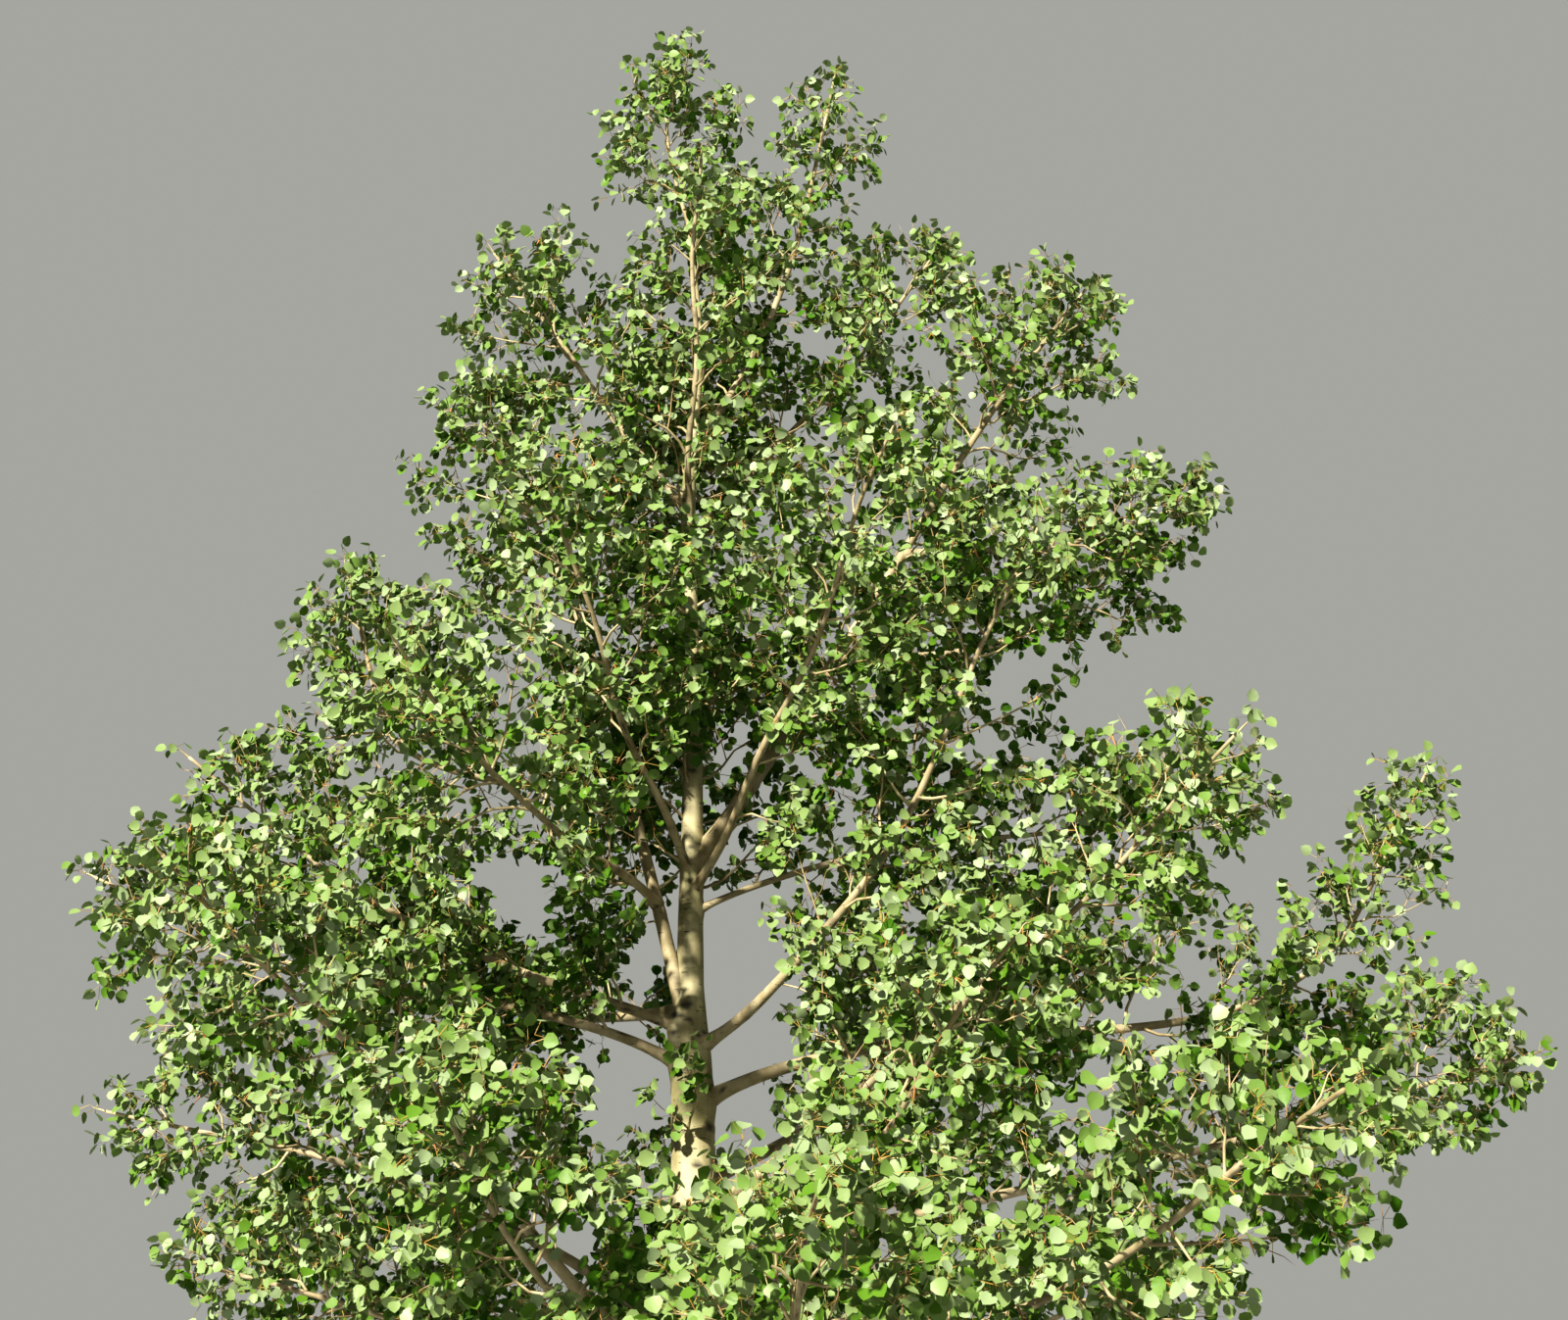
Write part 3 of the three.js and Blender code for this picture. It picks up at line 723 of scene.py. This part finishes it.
# %% Windows
WINDOWS = [
    (0.16, 3.54, 0.12, 0.19), (0.15, 3.09, 0.08, 0.17), (-0.19, 3.38, 0.115, 0.08),
    (-0.12, 3.60, 0.08, 0.12), (0.11, 4.22, 0.10, 0.12), (0.14, 3.92, 0.07, 0.08),
    (0.36, 3.88, 0.09, 0.07), (0.46, 4.68, 0.06, 0.08), (1.40, 4.48, 0.28, 0.07),
    (1.06, 4.48, 0.17, 0.09), (1.46, 3.55, 0.10, 0.03), (1.18, 3.23, 0.04, 0.09),
    (0.37, 5.70, 0.13, 0.07), (-0.33, 2.71, 0.12, 0.13), (-1.44, 3.58, 0.09, 0.05),
]
VIEWS = [
    (-0.06, 4.00, 0.14, 0.28), (0.17, 4.12, 0.12, 0.16), (0.0, 2.97, 0.07, 0.14),
    (-0.04, 5.20, 0.05, 0.15), (0.40, 3.74, 0.06, 0.10),
]
VIEW_FRONT = -0.06
WINDOW_THREADS = 0.10
SUN_WAY = unit(np.array((-0.42, -0.79, 0.45)))
SUN_GAPS = [
    (-0.03, 3.1, 0.08), (-0.03, 3.5, 0.09), (0.0, 3.95, 0.11), (-0.42, 3.6, 0.16),
    (-0.04, 5.2, 0.11), (0.05, 5.6, 0.10), (0.20, 5.3, 0.12), (0.15, 4.5, 0.12),
    (-0.11, 4.45, 0.13),
]


def left_out(cubed):
    """The chance in a shaft, by the cube of the share of the way from its middle to its rim."""
    return np.clip(1 - cubed, 0, 1 - WINDOW_THREADS)


def in_shafts(rows, points):
    """The chance that a shaft from the eye through one of the rows leaves out what grows there."""
    eye = np.array(EYE)
    way = points - eye
    on_plane = eye + way * (-eye[1] / way[..., 1:2])
    chance = np.zeros(on_plane.shape[:-1])
    for x, z, wide, high in rows:
        squared = ((on_plane[..., 0] - x) / wide) ** 2 + ((on_plane[..., 2] - z) / high) ** 2
        chance = np.maximum(chance, left_out(squared**1.5))
    return chance


def in_sun_gaps(points):
    """The same for the gaps, which are round and reach from the trunk's plane to the sun."""
    chance = np.zeros(points.shape[:-1])
    for x, z, wide in SUN_GAPS:
        off = points - np.array((x, 0.0, z))
        along = off @ SUN_WAY
        out = np.linalg.norm(off - along[..., None] * SUN_WAY, axis=-1) / wide
        chance = np.maximum(chance, np.where(along > 0, left_out(out**3), 0))
    return chance


def openness(points):
    """For each point, the chance that what grows there is left out."""
    in_views = np.where(points[..., 1] < VIEW_FRONT, in_shafts(VIEWS, points), 0)
    return np.maximum(np.maximum(in_shafts(WINDOWS, points), in_views), in_sun_gaps(points))


print("shafts:", len(WINDOWS + VIEWS), "from the eye and", len(SUN_GAPS), "to the sun")

# %% Shoots
SHOOT_STEP = 0.06
SHOOT_RISE = 0.10
SHOOT_SWING = 0.05
SHOOT_HALF_WAVES = 2.6
SHOOT_TIP = 0.0009
SHOOT_TAPER = 0.8
OUTER_SHARES = np.array((0.55, 0.8, 1.0))[:, None]


class Shoot:
    """A branch or twig: points from foot to tip, its radius, and the room it has to grow in."""

    def __init__(self, foot, way, length, radius, draw, room):
        steps = max(3, round(length / SHOOT_STEP))
        t = np.linspace(0, 1, steps + 1)[:, None]
        side = square_to(np.array((draw() - 0.5, draw() - 0.5, draw() - 0.5)), way)
        rise = SHOOT_RISE * (draw() + 0.5) * t**2 * UP
        swing = SHOOT_SWING * np.sin(SHOOT_HALF_WAVES * math.pi * t) * side
        self.points = foot + way * length * t + length * (rise + swing)
        self.length = length
        self.radius = radius
        self.side = side
        self.draw = draw
        self.room = room

    def at(self, share):
        run = share * (len(self.points) - 1)
        i = min(int(run), len(self.points) - 2)
        return lerp(self.points[i], self.points[i + 1], run - i)

    def way(self, share):
        i = min(int(share * (len(self.points) - 1)), len(self.points) - 2)
        return unit(self.points[i + 1] - self.points[i])

    def radius_at(self, share):
        return lerp(self.radius, SHOOT_TIP, share**SHOOT_TAPER)


def side_way(along, side, open_angle, turn):
    """The direction of a shoot that leaves along at an angle, turned round it and up to the light."""
    around = turned(square_to(side, along), along, turn)
    angle = math.radians(open_angle)
    return unit(along * math.cos(angle) + around * math.sin(angle) + UP * LIFT)


def may_grow(foot, way, length, chance):
    """True if a shoot's outer half stays clear of the wood and out of the windows."""
    outer = foot + way * length * OUTER_SHARES
    return is_clear(outer[-1]) and openness(outer).max() <= chance


# %% Branches of the masses
def grow_branches(limb):
    branches = []

    def room(p, way):
        return reach(limb, p, way, EDGE, SEAM) + OVERRUN * limb.draw()

    count = round((limb.end - limb.enter) * limb.length / BRANCH["spacing"])
    for i in range(count):
        run = (i + 0.25 + 0.5 * limb.draw()) / count
        share = lerp(limb.enter, limb.end, 0.02 + 0.96 * run)
        turn = GOLDEN_ANGLE * i + math.radians(BRANCH["jitter"]) * limb.draw()
        way = side_way(limb.tangent(share), limb.side, lerp(*BRANCH["open"], run), turn)
        foot = limb.point(share)
        length = reach(limb, foot, way, EDGE - LONE_TIP, SEAM) * (1 - SHORTFALL * limb.draw() ** 2)
        if length < BRANCH["shortest"] or not may_grow(foot, way, length, limb.draw()):
            continue
        radius = min(BRANCH["radius"], 0.6 * limb.radius(share), THINNEST + 0.009 * length)
        branches.append(Shoot(foot, way, length, radius, limb.draw, room))
    leader = limb.tangent(limb.end)
    tip = limb.point(limb.end)
    length = max(0.05, reach(limb, tip, leader, EDGE, 0.0))
    branches.append(Shoot(tip, leader, length, 0.8 * TIP_RADIUS, limb.draw, room))
    return branches


branches = [branch for limb in in_order for branch in grow_branches(limb)]
print("branches:", len(branches), "in the masses")

# %% [markdown]
# ## Shoots inside the crown
#
# Between the masses a real crown isn't empty: thin shoots stand on the bare boughs and on the trunk.
# More masses would hide the fork, so sparse shoots are set there, which obey the same windows. A row
# of the trunk's gives the lowest and highest foot, the spacing, and the longest shoot at the bottom
# and at the top.

# %% Shoots inside the crown
INNER = {"spacing": 0.052, "open": (70, 50), "jitter": 60, "lengths": (0.12, 0.46), "missing": 0.12}
INNER_FROM_TRUNK = 0.17
INNER_FROM_BOUGH = 0.1
TRUNK_SHOOTS = [(2.35, 3.1, 0.085, 0.55, 0.45), (3.75, TRUNK_TOP, 0.045, 0.60, 0.25)]
TRUNK_SHOOT_OPEN = 62
TRUNK_SHOOT_JITTER = 0.6
FREE_ROOM = 0.3
X_WAY = np.array((1.0, 0.0, 0.0))


def free_room(p, way):
    """The room of a twig outside the masses, which is the same everywhere."""
    return FREE_ROOM


def grow_inner(limb):
    """Sparse shoots on the stretch of a bough between its foot and its mass."""
    shoots = []
    first = INNER_FROM_TRUNK if limb.parent == "trunk" else INNER_FROM_BOUGH
    count = max(0, round((limb.enter - first) * limb.length / INNER["spacing"]))
    for i in range(count):
        share = lerp(first, limb.enter, (i + limb.draw()) / count)
        turn = GOLDEN_ANGLE * i + math.radians(INNER["jitter"]) * limb.draw()
        way = side_way(limb.tangent(share), limb.side, lerp(*INNER["open"], i / count), turn)
        length = lerp(*INNER["lengths"], limb.draw())
        foot = limb.point(share)
        if limb.draw() < INNER["missing"] or not may_grow(foot, way, length, limb.draw()):
            continue
        shoots.append(Shoot(foot, way, length, THINNEST + 0.008 * length, limb.draw, free_room))
    return shoots


def grow_on_trunk():
    """Shoots on the trunk itself, which fill the crown between its masses."""
    draw = seeded(SEED + 900)
    shoots = []
    for low, high, spacing, at_bottom, at_top in TRUNK_SHOOTS:
        count = round((high - low) / spacing)
        for i in range(count):
            run = (i + draw()) / count
            foot = trunk_middle(lerp(low, high, run))
            turn = GOLDEN_ANGLE * i + TRUNK_SHOOT_JITTER * draw()
            way = side_way(UP, X_WAY, TRUNK_SHOOT_OPEN, turn)
            length = lerp(at_bottom, at_top, run) * lerp(0.6, 1.0, draw())
            if may_grow(foot, way, length, draw()):
                radius = min(BRANCH["radius"], 0.5 * trunk_radius(foot[2]))
                shoots.append(Shoot(foot, way, length, radius, draw, free_room))
    return shoots


branches += [shoot for limb in in_order for shoot in grow_inner(limb)]
branches += grow_on_trunk()
print("branches:", len(branches), "with those inside the crown")

# %% Twigs
def grow_twigs(branch):
    twigs = []
    draw = branch.draw
    count = round(branch.length * TWIG_SHARE / TWIG["spacing"])
    for i in range(count):
        run = (i + 0.5 * draw() + 0.5) / count
        share = lerp(*TWIG_STRETCH, run)
        turn = GOLDEN_ANGLE * i + math.radians(TWIG["jitter"]) * draw()
        way = side_way(branch.way(share), branch.side, lerp(*TWIG["open"], run), turn)
        foot = branch.at(share)
        wanted = lerp(*TWIG_LENGTHS, run) * lerp(0.45, 1.0, draw())
        length = min(wanted, branch.room(foot, way))
        if length < TWIG["shortest"] or not may_grow(foot, way, length, draw()):
            continue
        radius = min(TWIG["radius"], 0.7 * branch.radius_at(share))
        twigs.append(Shoot(foot, way, length, radius, draw, branch.room))
    return twigs


twigs = [twig for branch in branches for twig in grow_twigs(branch)]
print("twigs:", len(twigs))

# %% [markdown]
# ## Branches and twigs as meshes
#
# There are thousands of shoots, and a bmesh operator on each would be slow, so rings of four or five
# points are worked out as arrays and joined into one mesh. Each tube is closed by a point at its tip,
# and its foot is sunk in the wood that bears it.

# %% Joined meshes from arrays
def mesh_from_arrays(name, points, corners, sizes):
    """A mesh from points, the point of each face corner in turn, and the corners of each face."""
    mesh = bpy.data.meshes.new(name)
    mesh.vertices.add(len(points))
    mesh.vertices.foreach_set("co", np.ascontiguousarray(points, np.float32).ravel())
    mesh.loops.add(len(corners))
    mesh.loops.foreach_set("vertex_index", np.ascontiguousarray(corners, np.int32))
    mesh.polygons.add(len(sizes))
    starts = np.concatenate(([0], np.cumsum(sizes)[:-1])).astype(np.int32)
    mesh.polygons.foreach_set("loop_start", starts)
    mesh.update(calc_edges=True)
    mesh.validate()
    return mesh


def tube_arrays(shoot, sides):
    """Rings round a shoot's points, narrowing to one point at its tip, and the faces between them."""
    points = shoot.points
    along = unit(np.gradient(points, axis=0))
    across = square_to(np.broadcast_to(shoot.side, along.shape), along)
    third = np.cross(along, across)
    count = len(points) - 1
    radii = np.array([shoot.radius_at(i / count) for i in range(count)])
    turns = 2 * math.pi * np.arange(sides) / sides
    ring = (
        across[:count, None] * np.cos(turns)[:, None] + third[:count, None] * np.sin(turns)[:, None]
    )
    rings = points[:count, None] + ring * radii[:, None, None]
    here = np.arange(sides)
    beside = (here + 1) % sides
    ring_starts = np.arange(count)[:, None] * sides
    first, second = ring_starts[:-1] + here, ring_starts[:-1] + beside
    quads = np.stack((first, second, second + sides, first + sides), -1).reshape(-1, 4)
    last = ring_starts[-1]
    tip = np.stack((last + here, last + beside, np.full(sides, count * sides)), -1)
    return np.concatenate((rings.reshape(-1, 3), points[-1:])), quads, tip


def tubes_mesh(name, shoots, sides):
    """All shoots as closed tubes in one mesh."""
    points, corners, sizes, used = [], [], [], 0
    for shoot in shoots:
        p, quads, tip = tube_arrays(shoot, sides)
        points.append(p)
        corners += [(quads + used).ravel(), (tip + used).ravel()]
        sizes += [np.full(len(quads), 4), np.full(len(tip), 3)]
        used += len(p)
    mesh = mesh_from_arrays(name, *map(np.concatenate, (points, corners, sizes)))
    mesh.shade_smooth()
    return mesh


# %% Twig material
def twig_material(name, pale, brown, roughness):
    material, shader, add, link = new_material(name, roughness)
    place = add("TexCoord").outputs["Object"]
    patches = add("TexNoise", {"Vector": place, "Scale": 14.0, "Detail": 4.0})
    link(ramp_between(add, patches.outputs["Fac"], brown, pale, 0.36, 0.6), shader.inputs["Base Color"])
    roughen(add, link, shader, place, 320.0, 0.3, 0.001)
    return material


branch_bark = twig_material("branch_bark", paint("b3a580"), paint("857552"), 0.6)
twig_bark = twig_material("twig_bark", paint("a38c64"), paint("6f5a3c"), 0.5)

add_piece("branches", tubes_mesh("branches", branches, 5), branch_bark, MASS_NODES)
add_piece("twigs", tubes_mesh("twigs", twigs, 4), twig_bark, MASS_NODES)
print("shoots:", sum(b.length for b in branches + twigs), "m in all")

# %% [markdown]
# ## Where the leaves stand
#
# Aspen leaves stand in tufts of two to five on short spurs. The stalk is long, flat and limp, so the
# blade hangs and turns in any wind, and from below most leaves show their whole round face. A
# particle system could scatter them, but it knows nothing of tufts and windows. So spurs are set
# along every shoot, stalks open round each spur and blades turn a little to the sun. A few shoots are
# dead and bare, as in every real crown.

# %% Spurs
SPUR_SPACING = 0.031
SPUR_OPEN = 55
SPUR_TURN = 6.28
SPUR_CLEARANCE = 0.02
BRANCH_SPURS_FROM = 0.45
TWIG_SPURS_FROM = 0.2
LEAVES_PER_SPUR = (2, 6)
BARE_SHOOTS = 0.05
WINDOW_EASE = 0.4
LEAF_SEED = 11


def spur_places(shoot, first):
    """Places and directions of the spurs on a shoot, from a share of its length to its tip."""
    count = max(1, round(shoot.length * (1 - first) / SPUR_SPACING))
    found = []
    for i in range(count):
        share = lerp(first, 1.0, (i + shoot.draw()) / count)
        turn = GOLDEN_ANGLE * i + SPUR_TURN * shoot.draw()
        found.append((shoot.at(share), side_way(shoot.way(share), shoot.side, SPUR_OPEN, turn)))
    found.append((shoot.points[-1], shoot.way(1.0)))
    return found


rng = np.random.default_rng(LEAF_SEED)
spurs = []
for shoots, first in ((branches, BRANCH_SPURS_FROM), (twigs, TWIG_SPURS_FROM)):
    for shoot in shoots:
        tone = shoot.draw()
        if shoot.draw() < BARE_SHOOTS:
            continue
        for place, way in spur_places(shoot, first):
            if is_clear(place, SPUR_CLEARANCE) and openness(place) - WINDOW_EASE <= shoot.draw():
                spurs.append((place, way, tone))
spur_point, spur_way, spur_tone = (np.array(column) for column in zip(*spurs))
per_spur = rng.integers(*LEAVES_PER_SPUR, len(spurs))
print("spurs:", len(spurs), "with", per_spur.sum(), "leaves")

# %% [markdown]
# ## Sun leaves and shade leaves
#
# A leaf in full sun is a greyish yellow-green, and one in the shade a deeper green, as its light has
# come through other leaves. These leaves are opaque, so that light is painted into their colour: the
# spurs are counted in small cubes, and each adds up how many stand between it and the sun. That
# number, with some chance for each spray and each leaf, decides which of five greens a leaf gets,
# the palest for the sunniest and the deepest for the most shaded. So the greens are partly the real
# difference of sun and shade leaves and partly painted sunlight and shade. A texture through the
# crown would show its pattern, and on the tree each leaf has one colour.

# %% Shade
CUBE = 0.1
SHADE_STEPS = 12


def share_below(values):
    """For each value, the share of the others that are less than it."""
    return np.argsort(np.argsort(values)) / len(values)


cubes = np.floor((spur_point - spur_point.min(0)) / CUBE).astype(int)
size = cubes.max(0) + 1
crowd = np.zeros(size)
np.add.at(crowd, tuple(cubes.T), 1)
shade = np.zeros(len(spurs))
for step in range(1, SHADE_STEPS + 1):
    at = cubes + np.rint(SUN_WAY * step).astype(int)
    inside = ((at >= 0) & (at < size)).all(1)
    shade[inside] += crowd[tuple(at[inside].T)]
spur_sun = 1 - share_below(shade)
print("shade: up to", shade.max(), "spurs between a spur and the sun")

# %% Leaf places
STALK_LENGTH = (0.020, 0.044)
STALK_PARTS = (0.55, 0.45)
LEAF_LENGTH = (0.024, 0.037)
TONE = {"sun": 0.45, "spray": 0.15, "leaf": 0.4}


def random_ways(count):
    return unit(rng.normal(size=(count, 3)))


leaf_count = int(per_spur.sum())
foot = np.repeat(spur_point, per_spur, 0)
outward = np.repeat(spur_way, per_spur, 0)
# The sun on each spur leads the tone, so the greens it deals out are partly painted sunlight and shade.
tone = TONE["sun"] * np.repeat(spur_sun, per_spur) + TONE["spray"] * np.repeat(spur_tone, per_spur)
tone += TONE["leaf"] * rng.random(leaf_count)
stalk_way = unit(0.5 * outward + 0.8 * random_ways(leaf_count) + 0.1 * UP)
stalk_length = rng.uniform(*STALK_LENGTH, (leaf_count, 1))
knee = foot + stalk_way * stalk_length * STALK_PARTS[0]
blade_foot = knee + unit(stalk_way + 0.5 * DOWN) * stalk_length * STALK_PARTS[1]
midrib = unit(0.5 * stalk_way + 0.5 * DOWN + 0.5 * random_ways(leaf_count))
from_trunk = unit(foot * (1, 1, 0) + 1e-6)
face_way = 0.35 * from_trunk + 0.25 * UP + 0.45 * SUN_WAY + 0.75 * random_ways(leaf_count)
face_way = square_to(face_way, midrib)
leaf_side = np.cross(midrib, face_way)
leaf_length = rng.uniform(*LEAF_LENGTH, (leaf_count, 1, 1))
print("leaves: the lowest at %.2f m" % blade_foot[:, 2].min())

# %% [markdown]
# ## The leaf blade
#
# The blade is nearly round, a little wider than long, with a short point. It is folded slightly along
# its midrib and dished, so that light falls on each half differently. Nine points and eight triangles
# hold that. One leaf is worked out as offsets along its side, its midrib and its face, and every
# other leaf is the same offsets along its own directions.

# %% Leaf shape
HALF_OUTLINE = [(0.42, 0.12), (0.54, 0.48), (0.34, 0.82)]
LEAF_TIP = (0.0, 1.06, -0.03)
FOLD = 0.16
DISH = 0.05
points = [(0.0, 0.0, 0.0), LEAF_TIP, (0.0, 0.48, -DISH)]
points += [(x, y, FOLD * x) for x, y in HALF_OUTLINE]
points += [(-x, y, FOLD * x) for x, y in HALF_OUTLINE]
blade = np.array(points)
right = [0, 3, 4, 5, 1]
left = [1, 8, 7, 6, 0]
blade_faces = np.array([(a, b, 2) for half in (right, left) for a, b in zip(half, half[1:])])
print("leaf:", len(blade), "points and", len(blade_faces), "triangles")

# %% Leaf materials
# From the palest green, dealt to the sunniest leaves, to the deepest, dealt to the most shaded: partly
# the leaves' own tones, partly painted sunlight and shade.
LEAF_PAINTS = {
    "leaves_pale_sunlit": ("82926c", 0.42, 0.09),
    "leaves_bright": ("728552", 0.44, 0.25),
    "leaves_sage": ("607a3a", 0.46, 0.29),
    "leaves_green": ("4e6f1e", 0.46, 0.24),
    "leaves_deep_shaded": ("3a600c", 0.48, 0.13),
}


def leaf_material(name, colour, roughness):
    material, shader, add, link = new_material(name, roughness)
    shader.inputs["Base Color"].default_value = paint(colour)
    shader.inputs["Specular IOR Level"].default_value = 0.18
    roughen(add, link, shader, add("TexCoord").outputs["Object"], 90.0, 0.25, 0.002)
    return material


print("paints:", *LEAF_PAINTS)

# %% Leaf meshes
def leaves_mesh(name, chosen):
    axes = np.stack((leaf_side[chosen], midrib[chosen], face_way[chosen]), 1)
    points = blade_foot[chosen][:, None] + (blade @ axes) * leaf_length[chosen]
    corners = blade_faces.ravel() + np.arange(len(points))[:, None] * len(blade)
    sizes = np.full(len(points) * len(blade_faces), 3)
    mesh = mesh_from_arrays(name, points.reshape(-1, 3), corners.ravel(), sizes)
    mesh.shade_smooth()
    return mesh


# Leaves ranked from the sunniest to the most shaded take the paints in turn, as painted sunlight and
# shade.
rank = share_below(-tone)
low = 0.0
for name, (colour, roughness, share) in LEAF_PAINTS.items():
    chosen = np.flatnonzero((rank >= low) & (rank < low + share + TINY))
    low += share
    mesh = leaves_mesh(name, chosen)
    add_piece(name, mesh, leaf_material(name, colour, roughness), MASS_NODES)
    print(name, len(chosen), "leaves,", len(mesh.polygons), "triangles")

# %% [markdown]
# ## Leaf stalks
#
# An aspen's leaf stalk is flattened like a ribbon, which is why its leaves tremble. One flat length is
# therefore the true shape, and costs two triangles each.

# %% Stalks
STALK_WIDTH = 0.0016
stalk_side = square_to(random_ways(leaf_count), stalk_way) * STALK_WIDTH / 2
edges = [foot - stalk_side, foot + stalk_side, blade_foot + stalk_side, blade_foot - stalk_side]
stalk_corners = np.arange(leaf_count * 4)
stalk_mesh = mesh_from_arrays(
    "leaf_stalks", np.stack(edges, 1).reshape(-1, 3), stalk_corners, np.full(leaf_count, 4)
)
stalk_finish = twig_material("stalk_skin", paint("a9803f"), paint("7c7a3a"), 0.5)
add_piece("leaf_stalks", stalk_mesh, stalk_finish, MASS_NODES)
print("stalks:", leaf_count)

# %% [markdown]
# ## Spent catkins
#
# By summer an aspen has shed its seed, but here and there a dry, reddish brown catkin or a tuft of
# bud scales still hangs from a spur, the only warm specks in the green. They are too small for a
# shape of their own, so each is a short drooping shoot, made as a twig is, only thicker.

# %% Catkins
CATKIN_COUNT = 700
CATKIN_LENGTH = (0.018, 0.045)
CATKIN_RADIUS = 0.0032
CATKIN_SPREAD = 0.45

draw = seeded(SEED + 901)
catkins = []
for place in spur_point[rng.choice(len(spurs), CATKIN_COUNT, replace=False)]:
    way = unit(CATKIN_SPREAD * random_ways(1)[0] + DOWN)
    catkins.append(Shoot(place, way, lerp(*CATKIN_LENGTH, draw()), CATKIN_RADIUS, draw, free_room))
catkin_finish = twig_material("catkin_husk", paint("b07846"), paint("70442a"), 0.8)
add_piece("catkins", tubes_mesh("catkins", catkins, 4), catkin_finish, MASS_NODES)
print("catkins:", len(catkins))

# %% [markdown]
# ## Floor and light
#
# A plain pale floor and a pale surround stand in for ground and sky. One low sun-like lamp from the
# front left is the key light, as the light on the real tree comes from there. A lamp on each side
# would make the crown look flat.

# %% Floor
FLOOR_RADIUS = 30.0
floor_bm = bmesh.new()
bmesh.ops.create_circle(floor_bm, cap_ends=True, segments=96, radius=FLOOR_RADIUS)
floor_mesh = mesh_from_bmesh(floor_bm, "floor")
floor = add_object("floor", floor_mesh)
floor.location.z = -0.002
floor_paint, floor_shader, *_ = new_material("floor_paint", 0.9)
floor_shader.inputs["Base Color"].default_value = (0.36, 0.37, 0.37, 1.0)
floor_mesh.materials.append(floor_paint)
print("floor: radius %.0f m" % FLOOR_RADIUS)

# %% Light
world = bpy.data.worlds.new("studio")
world.use_nodes = True
background = world.node_tree.nodes["Background"]
background.inputs["Color"].default_value = (0.86, 0.87, 0.81, 1.0)
background.inputs["Strength"].default_value = 0.40
scene.world = world
sun_data = bpy.data.lights.new("key", "SUN")
sun_data.energy = 9.8
sun_data.angle = math.radians(2.5)
sun_data.color = (1.0, 0.96, 0.84)
sun = add_object("key", sun_data)
sun.rotation_euler = Vector(SUN_WAY).to_track_quat("Z", "Y").to_euler()
scene.view_settings.view_transform = "Standard"
scene.view_settings.look = "Medium High Contrast"
print("sun: %.0f degrees up" % math.degrees(math.asin(SUN_WAY[2])))
